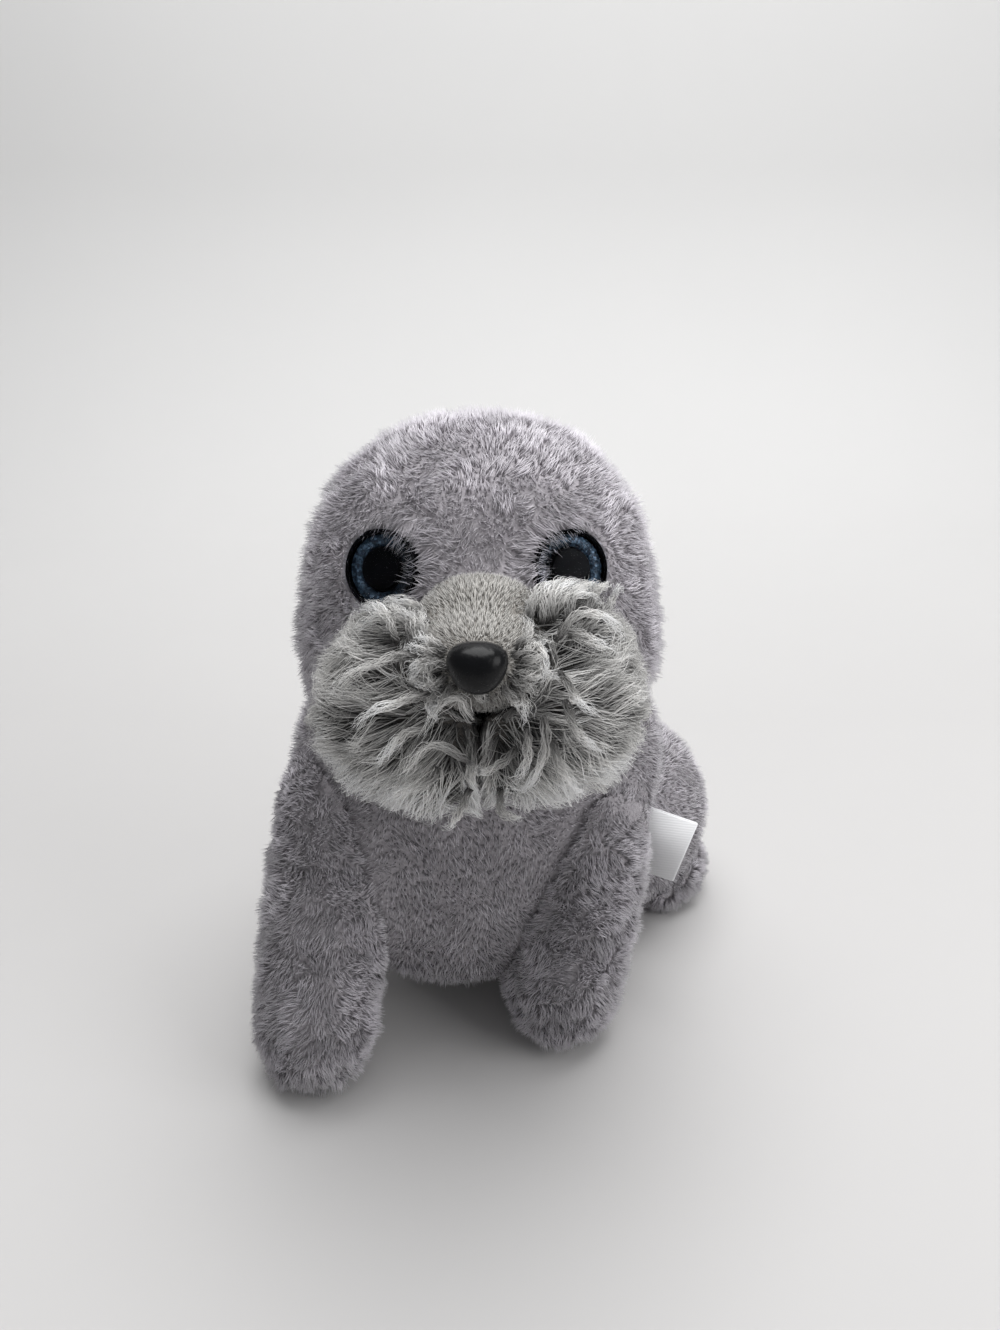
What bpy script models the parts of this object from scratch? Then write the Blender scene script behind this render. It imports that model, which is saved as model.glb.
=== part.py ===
"""A small plush seal that sits up on its front flippers, with plastic eyes and nose and a long moustache.

Lengths are in metres. The seal looks along -Y and +Z is up. Its own left side is at +X. Each stuffed form
is a ball whose points are pushed out to a smooth blend of rounded lobes, and a neighbour is trimmed by the
same ball moved outward by the clearance. The finished model stands on z = 0, centred on its own bounding box.
"""

import math
from dataclasses import dataclass

import bmesh
import bpy
import numpy as np
from mathutils import Matrix, Vector

MM = 0.001
CLEARANCE = 0.3 * MM

# Head, a dome with full cheeks
HEAD_HALF_WIDTH = 38.3 * MM
HEAD_HALF_DEPTH = 36.2 * MM
HEAD_HALF_HEIGHT = 40.8 * MM
HEAD_FULLNESS = 2.3
NECK_SINK = 28.2 * MM
CHEEKS_HALF_WIDTH = 39.0 * MM
CHEEKS_HALF_DEPTH = 33.0 * MM
CHEEKS_HALF_HEIGHT = 27.0 * MM
CHEEKS_DROP = 11.0 * MM
HEAD_BLEND = 2.5 * MM

# Chest, the upright front of the torso
CHEST_HALF_WIDTH = 35.0 * MM
CHEST_HALF_DEPTH = 34.0 * MM
CHEST_HALF_HEIGHT = 45.0 * MM
CHEST_FULLNESS = 2.6
CHEST_LEAN = math.radians(26)
CHEST_LIFT = 5.0 * MM
CHEST_BEHIND_HEAD = 8.0 * MM
CHEST_ASIDE = -5.0 * MM

# Shoulders, the torso's width under the head
SHOULDERS_HALF_WIDTH = 41.0 * MM
SHOULDERS_HALF_DEPTH = 26.5 * MM
SHOULDERS_HALF_HEIGHT = 22.0 * MM
SHOULDERS_FULLNESS = 2.8
SHOULDERS_ASIDE = 3.5 * MM
SHOULDERS_AHEAD = 1.0 * MM
SHOULDERS_DROP = 27.0 * MM

# Rump, the rear of the torso, turned to the seal's left
RUMP_HALF_WIDTH = 37.5 * MM
RUMP_HALF_DEPTH = 34.0 * MM
RUMP_HALF_HEIGHT = 31.0 * MM
RUMP_REACH = 47.0 * MM
RUMP_TURN = math.radians(43.5)
TORSO_BLEND = 6.0 * MM
TORSO_HEART = 0.38

# Front flippers
FLIPPER_HALF_WIDTH = 14.0 * MM
FLIPPER_TOP_HALF_DEPTH = 17.0 * MM
FLIPPER_TOP_HALF_HEIGHT = 21.0 * MM
FLIPPER_TOP_DROP = 37.0 * MM
LEFT_INSET = 14.5 * MM
RIGHT_INSET = 9.5 * MM
FOOT_HALF_LENGTH = 16.0 * MM
FOOT_HALF_HEIGHT = 16.0 * MM
FOOT_FULLNESS = 2.3
FLIPPER_AHEAD = 17.0 * MM
FEET_ASIDE = -5.5 * MM
LEFT_STRIDE = 4.5 * MM
RIGHT_STRIDE = 18.5 * MM
FLIPPER_BLEND = 5.0 * MM

# Hind flippers
HIND_HALF_WIDTH = 13.0 * MM
HIND_HALF_LENGTH = 18.0 * MM
HIND_HALF_HEIGHT = 10.5 * MM
HIND_BLEND = 1.0 * MM
HIND_FULLNESS = 2.2
HIND_OVERLAP = 15.0 * MM
HIND_FORWARD = 1.0 * MM
HIND_TOE_OUT = math.radians(20)
LEFT_HIND_SWING = math.radians(48)
RIGHT_HIND_SWING = math.radians(90)

# What rests on the floor is pressed flat to this depth
PRESS = 2.0 * MM

# The snout, nose and moustache sit a little to the seal's left
MUZZLE_ASIDE = 0.8 * MM

# Snout, the short-pile patch between the eyes and the nose
SNOUT_HALF_WIDTH = 12.3 * MM
SNOUT_HALF_HEIGHT = 8.2 * MM
SNOUT_TIP_DEPTH = 10.0 * MM
SNOUT_REACH = 22.5 * MM
SNOUT_ABOVE_HEAD_CENTRE = 8.3 * MM
SNOUT_TIP_DROP = 2.0 * MM
SNOUT_BLEND = 1.5 * MM

# Moustache, two halves with a seam under the nose
MOUSTACHE_HALF_WIDTH = 21.4 * MM
MOUSTACHE_HALF_DEPTH = 18.0 * MM
MOUSTACHE_HALF_HEIGHT = 20.8 * MM
MOUSTACHE_FULLNESS = 2.3
MOUSTACHE_ASIDE = 10.5 * MM
MOUSTACHE_RISE = math.radians(14)
MOUSTACHE_DROP = 8.0 * MM
MOUSTACHE_PROUD = 3.0 * MM
LEFT_MOUSTACHE_LIFT = 2.5 * MM
RIGHT_MOUSTACHE_LIFT = 0.5 * MM
LOCK_DEPTH = 1.6 * MM
LOCK_COUNT = 18
LOCK_SWIRL = 1.1

# Nose
NOSE_HALF_WIDTH = 6.3 * MM
NOSE_HALF_HEIGHT = 4.4 * MM
NOSE_HALF_DEPTH = 4.2 * MM
NOSE_NARROWING = 0.38
NOSE_FULLNESS = 2.4
NOSE_ABOVE_TIP = 1.7 * MM
NOSE_LIFT = math.radians(10)
NOSE_SINK = 2.8 * MM

# Eyes
EYE_RADIUS = 7.5 * MM
EYE_ASIDE = 18.6 * MM
EYE_ABOVE_HEAD_CENTRE = 17.2 * MM
EYE_SINK = 4.6 * MM
EYE_FLOOR = 1.2 * MM
EYE_CUP_HEIGHT = 3.0 * MM
EYE_RIM_WIDTH = 0.8 * MM
PUPIL_RADIUS = 3.9 * MM
IRIS_THICKNESS = 0.9 * MM
LENS_EDGE = 0.6 * MM
LENS_CROWN = 2.8 * MM

# Shanks and the lock washers on them, which clamp the plush fabric
SHANK_RADIUS = 1.5 * MM
SHANK_LENGTH = 5.5 * MM
FABRIC_THICKNESS = 1.5 * MM
WASHER_RADIUS = 5.5 * MM
NOSE_WASHER_RADIUS = 4.2 * MM
WASHER_THICKNESS = 1.2 * MM

# Label, a folded ribbon in the side seam
LABEL_WIDTH = 18.5 * MM
LABEL_REACH = 13.8 * MM
LABEL_ROOT = 3.0 * MM
LABEL_PLY = 0.35 * MM
LABEL_FOLD_GAP = 0.5 * MM
LABEL_HEIGHT = 40.5 * MM
LABEL_SWING = math.radians(-12)
LABEL_DROOP = math.radians(15)

# Fineness of the meshes: segments around and rings from pole to pole for a ball, or steps along an arc
HEAD_FINENESS = (32, 20)
TORSO_FINENESS = (48, 28)
SNOUT_FINENESS = (24, 12)
FLIPPER_FINENESS = (24, 18)
HIND_FINENESS = (20, 12)
MOUSTACHE_FINENESS = (56, 16)
NOSE_FINENESS = (18, 10)
TURN_STEPS = 20
WASHER_STEPS = 16
ROOM_CROWN_STEPS = 5
LENS_CROWN_STEPS = 6
FOLD_STEPS = 6
WELD = 0.001 * MM
HALVINGS = 32
LONGEST_REACH = 0.5
PROBE = 0.1 * MM

# Linear colours
PLUSH_GREY = (0.30, 0.28, 0.30)
SNOUT_BEIGE = (0.47, 0.44, 0.40)
MOUSTACHE_PALE = (0.50, 0.48, 0.46)
PLASTIC_BLACK = (0.008, 0.009, 0.011)
IRIS_BLUE = (0.05, 0.16, 0.32)
CLEAR = (0.9, 0.93, 0.95)
RIBBON_WHITE = (0.78, 0.79, 0.80)
WASHER_WHITE = (0.7, 0.7, 0.68)

X_AXIS = Vector((1, 0, 0))
Z_AXIS = Vector((0, 0, 1))
FORWARD = Vector((0, -1, 0))


@dataclass
class Lobe:
    """A rounded lobe: its place, how square it is (2 is an ellipsoid), its turn about Z and its lean to +X."""

    centre: Vector
    half_sizes: tuple
    fullness: float = 2.0
    turn: float = 0.0
    lean: float = 0.0


@dataclass
class Form:
    """Lobes that melt into each other over the length blend, and the point that sees all of their skin."""

    lobes: list
    blend: float
    heart: Vector

    def outside(self, points):
        """About how far each point is outside the form."""
        distances = []
        for lobe in self.lobes:
            half = np.array(lobe.half_sizes)
            axes = np.array(Matrix.Rotation(lobe.turn, 3, "Z") @ Matrix.Rotation(lobe.lean, 3, "Y"))
            scaled = np.abs((points - np.array(lobe.centre)) @ axes) / half
            level = (scaled**lobe.fullness).sum(axis=1) ** (1 / lobe.fullness)
            distances.append((level - 1) * half.min())
        nearest = np.amin(distances, axis=0)
        shares = np.exp((nearest - np.array(distances)) / self.blend)
        return nearest - self.blend * np.log(shares.sum(axis=0))

    def skin(self, start, directions):
        """The points where straight lines from start leave the form."""
        start = np.array(start)
        near = np.zeros(len(directions))
        far = np.full(len(directions), LONGEST_REACH)
        for _ in range(HALVINGS):
            middle = (near + far) / 2
            out = self.outside(start + directions * middle[:, None]) > 0
            far = np.where(out, middle, far)
            near = np.where(out, near, middle)
        return start + directions * far[:, None]

    def surface_point(self, start, direction):
        """Where one straight line from start leaves the form."""
        return Vector(self.skin(start, np.array([direction.normalized()]))[0])

    def normal(self, point):
        """The outward direction of the form's skin at a point."""
        steps = np.concatenate([np.eye(3), -np.eye(3)]) * PROBE
        sides = self.outside(np.array(point) + steps)
        return Vector(sides[:3] - sides[3:]).normalized()


def new_material(name, colour, roughness, transmission=0.0):
    material = bpy.data.materials.new(name)
    material.use_nodes = True
    shader = material.node_tree.nodes["Principled BSDF"]
    shader.inputs["Base Color"].default_value = (*colour, 1)
    shader.inputs["Roughness"].default_value = roughness
    shader.inputs["Metallic"].default_value = 0.0
    shader.inputs["Transmission Weight"].default_value = transmission
    return material


def point_outward(shape):
    shape.normal_update()
    bmesh.ops.recalc_face_normals(shape, faces=shape.faces)


def new_object(name, mesh_bm, material=None, matrix=None):
    """A shaded object under the seal's empty. Without a material it is a hidden cutter."""
    mesh = bpy.data.meshes.new(name)
    mesh_bm.to_mesh(mesh)
    mesh_bm.free()
    obj = bpy.data.objects.new(name, mesh)
    bpy.context.collection.objects.link(obj)
    obj.parent = bpy.data.objects["seal_origin"]
    if matrix is not None:
        obj.matrix_local = matrix
    if material is None:
        obj.hide_render = True
        obj.display_type = "WIRE"
    else:
        mesh.materials.append(material)
        mesh.shade_smooth()
    return obj


def trim(obj, *cutters):
    for cutter in cutters:
        modifier = obj.modifiers.new(f"trim_{cutter.name}", "BOOLEAN")
        modifier.operation = "DIFFERENCE"
        modifier.solver = "EXACT"
        modifier.object = cutter


def facing(point, outward):
    """A frame at a point whose own +Z points outward and whose own +Y leans up."""
    across = Z_AXIS.cross(outward).normalized()
    up = outward.cross(across)
    return Matrix.Translation(point) @ Matrix((across, up, outward)).transposed().to_4x4()


def stuffed(name, form, material, fineness, pole=Z_AXIS, grow=0.0, relief=None):
    """A ball around the form's heart, pushed out to its skin and then outward by grow. relief adds height."""
    segments, rings = fineness
    ball = bmesh.new()
    bmesh.ops.create_uvsphere(ball, u_segments=segments, v_segments=rings, radius=1.0)
    bmesh.ops.triangulate(ball, faces=ball.faces, quad_method="FIXED")
    own = np.array([vertex.co for vertex in ball.verts])
    turn = np.array(Z_AXIS.rotation_difference(pole).to_matrix())
    directions = own @ turn.T
    points = form.skin(form.heart, directions)
    if relief is not None:
        points += directions * relief(own)[:, None]
    points[:, 2] = np.maximum(points[:, 2], 0)
    for vertex, point in zip(ball.verts, points):
        vertex.co = point
    if grow:
        ball.normal_update()
        moves = [vertex.normal * vertex.calc_shell_factor() * grow for vertex in ball.verts]
        for vertex, move in zip(ball.verts, moves):
            vertex.co += move
    return new_object(name, ball, material)


def turned(name, outline, material, matrix, ring=False, steps=TURN_STEPS):
    """An outline of (radius, height) turned about its own Z. A ring's outline is closed, clear of the axis."""
    shape = bmesh.new()
    vertices = [shape.verts.new((radius, 0, height)) for radius, height in outline]
    pairs = list(zip(vertices, vertices[1:]))
    if ring:
        pairs.append((vertices[-1], vertices[0]))
    edges = [shape.edges.new(pair) for pair in pairs]
    bmesh.ops.spin(
        shape,
        geom=vertices + edges,
        cent=(0, 0, 0),
        axis=(0, 0, 1),
        angle=math.tau,
        steps=steps,
        use_merge=True,
    )
    bmesh.ops.remove_doubles(shape, verts=shape.verts, dist=WELD)
    point_outward(shape)
    return new_object(name, shape, material, matrix)


def washer(name, radius, material, matrix):
    """A flat lock washer around a shank, behind the fabric."""
    front = -FABRIC_THICKNESS - CLEARANCE
    bore = SHANK_RADIUS + CLEARANCE
    outline = [
        (bore, front),
        (radius, front),
        (radius, front - WASHER_THICKNESS),
        (bore, front - WASHER_THICKNESS),
    ]
    return turned(name, outline, material, matrix, ring=True, steps=WASHER_STEPS)


def shank_pocket_outline(washer_radius):
    """The room inside the plush for a shank and its washer, from the shank's end up to the fabric."""
    bore = SHANK_RADIUS + CLEARANCE
    room = washer_radius + CLEARANCE
    return [
        (0, -SHANK_LENGTH - CLEARANCE),
        (bore, -SHANK_LENGTH - CLEARANCE),
        (bore, -FABRIC_THICKNESS - WASHER_THICKNESS - 2 * CLEARANCE),
        (room, -FABRIC_THICKNESS - WASHER_THICKNESS - 2 * CLEARANCE),
        (room, -FABRIC_THICKNESS),
        (bore, -FABRIC_THICKNESS),
    ]


def head_form():
    chest_top = CHEST_LIFT + 2 * CHEST_HALF_HEIGHT
    centre = Vector((0, 0, chest_top - NECK_SINK + HEAD_HALF_HEIGHT))
    half_sizes = (HEAD_HALF_WIDTH, HEAD_HALF_DEPTH, HEAD_HALF_HEIGHT)
    cheeks_size = (CHEEKS_HALF_WIDTH, CHEEKS_HALF_DEPTH, CHEEKS_HALF_HEIGHT)
    cheeks = Lobe(centre - Z_AXIS * CHEEKS_DROP, cheeks_size, HEAD_FULLNESS)
    return Form([Lobe(centre, half_sizes, HEAD_FULLNESS), cheeks], HEAD_BLEND, centre)


def rear_direction():
    """The level direction from the chest to the rump."""
    return Vector((math.sin(RUMP_TURN), math.cos(RUMP_TURN), 0))


def chest_lobe():
    centre = Vector((CHEST_ASIDE, CHEST_BEHIND_HEAD, CHEST_LIFT + CHEST_HALF_HEIGHT))
    half_sizes = (CHEST_HALF_WIDTH, CHEST_HALF_DEPTH, CHEST_HALF_HEIGHT)
    return Lobe(centre, half_sizes, CHEST_FULLNESS, lean=CHEST_LEAN)


def rump_lobe():
    centre = chest_lobe().centre + rear_direction() * RUMP_REACH
    centre.z = RUMP_HALF_HEIGHT - PRESS
    return Lobe(centre, (RUMP_HALF_WIDTH, RUMP_HALF_DEPTH, RUMP_HALF_HEIGHT))


def shoulders_lobe():
    chest = chest_lobe().centre
    top = chest.z + CHEST_HALF_HEIGHT
    centre = Vector((chest.x + SHOULDERS_ASIDE, chest.y - SHOULDERS_AHEAD, top - SHOULDERS_DROP))
    half_sizes = (SHOULDERS_HALF_WIDTH, SHOULDERS_HALF_DEPTH, SHOULDERS_HALF_HEIGHT)
    return Lobe(centre, half_sizes, SHOULDERS_FULLNESS)


def torso_form():
    chest, rump = chest_lobe(), rump_lobe()
    heart = chest.centre.lerp(rump.centre, TORSO_HEART)
    return Form([chest, shoulders_lobe(), rump], TORSO_BLEND, heart)


def front_flipper_form(side, inset, stride):
    """A leg-like flipper from the torso's side down to a foot that stands ahead of it by the stride."""
    shoulders = shoulders_lobe().centre
    top = Vector(
        (
            shoulders.x + side * (SHOULDERS_HALF_WIDTH - inset),
            shoulders.y - FLIPPER_AHEAD,
            shoulders.z + SHOULDERS_DROP - FLIPPER_TOP_DROP,
        )
    )
    foot = Vector((top.x + FEET_ASIDE, top.y - stride, FOOT_HALF_HEIGHT - PRESS))
    middle = (top + foot) / 2
    top_size = (FLIPPER_HALF_WIDTH, FLIPPER_TOP_HALF_DEPTH, FLIPPER_TOP_HALF_HEIGHT)
    foot_size = (FLIPPER_HALF_WIDTH, FOOT_HALF_LENGTH, FOOT_HALF_HEIGHT)
    middle_size = tuple((a + b) / 2 for a, b in zip(top_size, foot_size))
    lobes = [Lobe(top, top_size), Lobe(middle, middle_size), Lobe(foot, foot_size, FOOT_FULLNESS)]
    return Form(lobes, FLIPPER_BLEND, middle)


def hind_flipper_form(side, swing):
    """A flat rounded flipper under the rump's edge, on the floor, swung to its side from the rear."""
    rump = rump_lobe()
    rear = rear_direction()
    outward = Matrix.Rotation(-side * swing, 3, "Z") @ rear
    reach = rump_skin_reach(rump, outward)
    centre = rump.centre + outward * (reach + HIND_HALF_WIDTH - HIND_OVERLAP) - rear * HIND_FORWARD
    centre.z = HIND_HALF_HEIGHT - PRESS
    turn = -RUMP_TURN + side * HIND_TOE_OUT
    half_sizes = (HIND_HALF_WIDTH, HIND_HALF_LENGTH, HIND_HALF_HEIGHT)
    return Form([Lobe(centre, half_sizes, HIND_FULLNESS, turn)], HIND_BLEND, centre)


def rump_skin_reach(rump, outward):
    """How far the rump reaches level from its centre in a direction, at the hind flippers' height."""
    level = (HIND_HALF_HEIGHT - PRESS - rump.centre.z) / RUMP_HALF_HEIGHT
    share = math.sqrt(max(0.0, 1 - level**2))
    return share / math.hypot(outward.x / RUMP_HALF_WIDTH, outward.y / RUMP_HALF_DEPTH)


def snout_form(head):
    middle = head.heart + X_AXIS * MUZZLE_ASIDE
    root = middle + Z_AXIS * SNOUT_ABOVE_HEAD_CENTRE + FORWARD * HEAD_HALF_DEPTH
    tip = root + FORWARD * (SNOUT_REACH - SNOUT_TIP_DEPTH) - Z_AXIS * SNOUT_TIP_DROP
    root_size = (SNOUT_HALF_WIDTH, SNOUT_TIP_DEPTH, SNOUT_HALF_HEIGHT + SNOUT_TIP_DROP)
    tip_size = (SNOUT_HALF_WIDTH, SNOUT_TIP_DEPTH, SNOUT_HALF_HEIGHT)
    return Form([Lobe(root, root_size), Lobe(tip, tip_size)], SNOUT_BLEND, (root + tip) / 2)


def moustache_form(side, lift, head):
    """One half of the moustache. Its locks spread from a heart close under the nose."""
    front = head.heart + X_AXIS * MUZZLE_ASIDE + FORWARD * (HEAD_HALF_DEPTH + MOUSTACHE_PROUD)
    centre = front + X_AXIS * side * MOUSTACHE_ASIDE - Z_AXIS * (MOUSTACHE_DROP - lift)
    half_sizes = (MOUSTACHE_HALF_WIDTH, MOUSTACHE_HALF_DEPTH, MOUSTACHE_HALF_HEIGHT)
    heart = front - Z_AXIS * MOUSTACHE_DROP / 2
    lobe = Lobe(centre, half_sizes, MOUSTACHE_FULLNESS, lean=-side * MOUSTACHE_RISE)
    return Form([lobe], SNOUT_BLEND, heart)


def lock_relief(side):
    """Rounded locks that run out from the pole in curves, with sharp grooves between them."""

    def height(directions):
        around = np.arctan2(directions[:, 1], directions[:, 0])
        spread = np.hypot(directions[:, 0], directions[:, 1])
        wave = np.abs(np.sin(around * LOCK_COUNT / 2 + side * LOCK_SWIRL * spread * math.pi))
        return LOCK_DEPTH * (wave - 0.5) * spread

    return height


def eye_outline():
    """The profile of a whole eye made larger by the clearance, with the room for its shank and washer."""
    rim = EYE_RADIUS + CLEARANCE
    edge_top = EYE_CUP_HEIGHT + CLEARANCE + LENS_EDGE
    crown = [
        (rim * math.cos(turn), edge_top + (LENS_CROWN + CLEARANCE) * math.sin(turn))
        for turn in np.linspace(0, math.pi / 2, ROOM_CROWN_STEPS, endpoint=False)
    ]
    top = (0, edge_top + LENS_CROWN + CLEARANCE)
    inner = shank_pocket_outline(WASHER_RADIUS)
    return [*inner, (SHANK_RADIUS + CLEARANCE, -CLEARANCE), (rim, -CLEARANCE), *crown, top]


def build_eye(word, place, materials):
    black, blue, clear, white = materials
    cup_inner = EYE_RADIUS - EYE_RIM_WIDTH
    base = [
        (0, -SHANK_LENGTH),
        (SHANK_RADIUS, -SHANK_LENGTH),
        (SHANK_RADIUS, 0),
        (EYE_RADIUS, 0),
        (EYE_RADIUS, EYE_CUP_HEIGHT),
        (cup_inner, EYE_CUP_HEIGHT),
        (cup_inner, EYE_FLOOR),
        (PUPIL_RADIUS, EYE_FLOOR),
        (PUPIL_RADIUS, EYE_CUP_HEIGHT),
        (0, EYE_CUP_HEIGHT),
    ]
    turned(f"eye_base_{word}", base, black, place)
    iris_low = EYE_FLOOR + CLEARANCE
    iris = [
        (PUPIL_RADIUS + CLEARANCE, iris_low),
        (cup_inner - CLEARANCE, iris_low),
        (cup_inner - CLEARANCE, iris_low + IRIS_THICKNESS),
        (PUPIL_RADIUS + CLEARANCE, iris_low + IRIS_THICKNESS),
    ]
    turned(f"eye_iris_{word}", iris, blue, place, ring=True)
    lens_low = EYE_CUP_HEIGHT + CLEARANCE
    dome = [
        (EYE_RADIUS * math.cos(turn), lens_low + LENS_EDGE + LENS_CROWN * math.sin(turn))
        for turn in np.linspace(0, math.pi / 2, LENS_CROWN_STEPS, endpoint=False)
    ]
    top = (0, lens_low + LENS_EDGE + LENS_CROWN)
    turned(f"eye_lens_{word}", [(0, lens_low), (EYE_RADIUS, lens_low), *dome, top], clear, place)
    washer(f"eye_washer_{word}", WASHER_RADIUS, white, place)


def nose_points(directions, grow):
    """A rounded nose that is widest near its top, in its own frame: X across, Y up, Z outward."""
    half = np.array([NOSE_HALF_WIDTH, NOSE_HALF_HEIGHT, NOSE_HALF_DEPTH]) + grow
    scale = (np.abs(directions / half) ** NOSE_FULLNESS).sum(axis=1) ** (-1 / NOSE_FULLNESS)
    points = directions * scale[:, None]
    share_down = 0.5 - points[:, 1] / (2 * half[1])
    points[:, 0] *= 1 - NOSE_NARROWING * share_down
    return points


def nose_solid(name, material, place, grow=0.0):
    ball = bmesh.new()
    segments, rings = NOSE_FINENESS
    bmesh.ops.create_uvsphere(ball, u_segments=segments, v_segments=rings, radius=1.0)
    points = nose_points(np.array([vertex.co for vertex in ball.verts]), grow)
    for vertex, point in zip(ball.verts, points):
        vertex.co = point
    return new_object(name, ball, material, place)


def build_nose(snout, materials):
    """The nose on the snout's upper front, its shank through the fabric, and the washer behind it."""
    black, white = materials
    start = snout.lobes[-1].centre + Z_AXIS * NOSE_ABOVE_TIP
    outward = FORWARD * math.cos(NOSE_LIFT) + Z_AXIS * math.sin(NOSE_LIFT)
    seat = snout.surface_point(start, outward)
    place = facing(seat + outward * (NOSE_HALF_DEPTH - NOSE_SINK), outward)
    behind = facing(seat - outward * NOSE_SINK, outward)
    nose = nose_solid("nose", black, place)
    shank_outline = [
        (0, -SHANK_LENGTH),
        (SHANK_RADIUS, -SHANK_LENGTH),
        (SHANK_RADIUS, NOSE_HALF_DEPTH),
        (0, NOSE_HALF_DEPTH),
    ]
    shank = turned("nose_shank", shank_outline, None, behind)
    join = nose.modifiers.new("join_shank", "BOOLEAN")
    join.operation = "UNION"
    join.solver = "EXACT"
    join.object = shank
    washer("nose_washer", NOSE_WASHER_RADIUS, white, behind)
    room = nose_solid("nose_room", None, place, CLEARANCE)
    pocket_end = [(SHANK_RADIUS + CLEARANCE, NOSE_HALF_DEPTH), (0, NOSE_HALF_DEPTH)]
    pocket = shank_pocket_outline(NOSE_WASHER_RADIUS) + pocket_end
    return room, turned("nose_pocket", pocket, None, behind)


def ribbon(name, material, matrix, grow=0.0):
    """A ribbon folded once, its fold outward along its own X, its width along its own Y."""
    half_gap = LABEL_FOLD_GAP / 2
    outer = half_gap + LABEL_PLY + grow
    start, bend = -LABEL_ROOT - grow, LABEL_REACH - outer
    turns = np.linspace(math.pi / 2, -math.pi / 2, FOLD_STEPS + 1)
    outer_arc = [(bend + outer * math.cos(t), outer * math.sin(t)) for t in turns]
    section = [(start, outer), *outer_arc, (start, -outer)]
    if not grow:
        inner_arc = [(bend + half_gap * math.cos(t), half_gap * math.sin(t)) for t in reversed(turns)]
        section += [(start, -half_gap), *inner_arc, (start, half_gap)]
    half_width = LABEL_WIDTH / 2 + grow
    shape = bmesh.new()
    face = shape.faces.new([shape.verts.new((x, -half_width, z)) for x, z in section])
    extruded = bmesh.ops.extrude_face_region(shape, geom=[face])
    far = [item for item in extruded["geom"] if isinstance(item, bmesh.types.BMVert)]
    bmesh.ops.translate(shape, verts=far, vec=(0, 2 * half_width, 0))
    point_outward(shape)
    return new_object(name, shape, material, matrix)


def label_place(torso):
    """Where the label leaves the torso's side, how far it is swung ahead, and how it droops."""
    chest = chest_lobe().centre
    start = Vector((chest.x, chest.y, LABEL_HEIGHT))
    seam = torso.surface_point(start, X_AXIS)
    swing = Matrix.Rotation(LABEL_SWING, 4, "Z")
    droop = Matrix.Rotation(LABEL_DROOP, 4, "Y")
    upright = Matrix.Rotation(math.pi / 2, 4, "X")
    return Matrix.Translation(seam) @ swing @ droop @ upright


def box_across(name, form, side):
    """A box over the other half of the face, up to half the clearance from the middle."""
    size = 2 * (MOUSTACHE_HALF_WIDTH + MOUSTACHE_HALF_HEIGHT)
    shape = bmesh.new()
    bmesh.ops.create_cube(shape, size=size)
    middle = form.heart + X_AXIS * side * (CLEARANCE / 2 - size / 2)
    bmesh.ops.translate(shape, verts=shape.verts, vec=middle)
    return new_object(name, shape)


def seat_on_origin(pieces):
    """Moves the seal so that the middle of its bounding box's base is the origin."""
    depsgraph = bpy.context.evaluated_depsgraph_get()
    corners = []
    for piece in pieces:
        seen = piece.evaluated_get(depsgraph)
        corners += [seen.matrix_world @ Vector(corner) for corner in seen.bound_box]
    low = [min(corner[axis] for corner in corners) for axis in range(3)]
    high = [max(corner[axis] for corner in corners) for axis in range(3)]
    middle = [-(low[axis] + high[axis]) / 2 for axis in range(2)]
    bpy.data.objects["seal_origin"].location = (*middle, -low[2])


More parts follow.
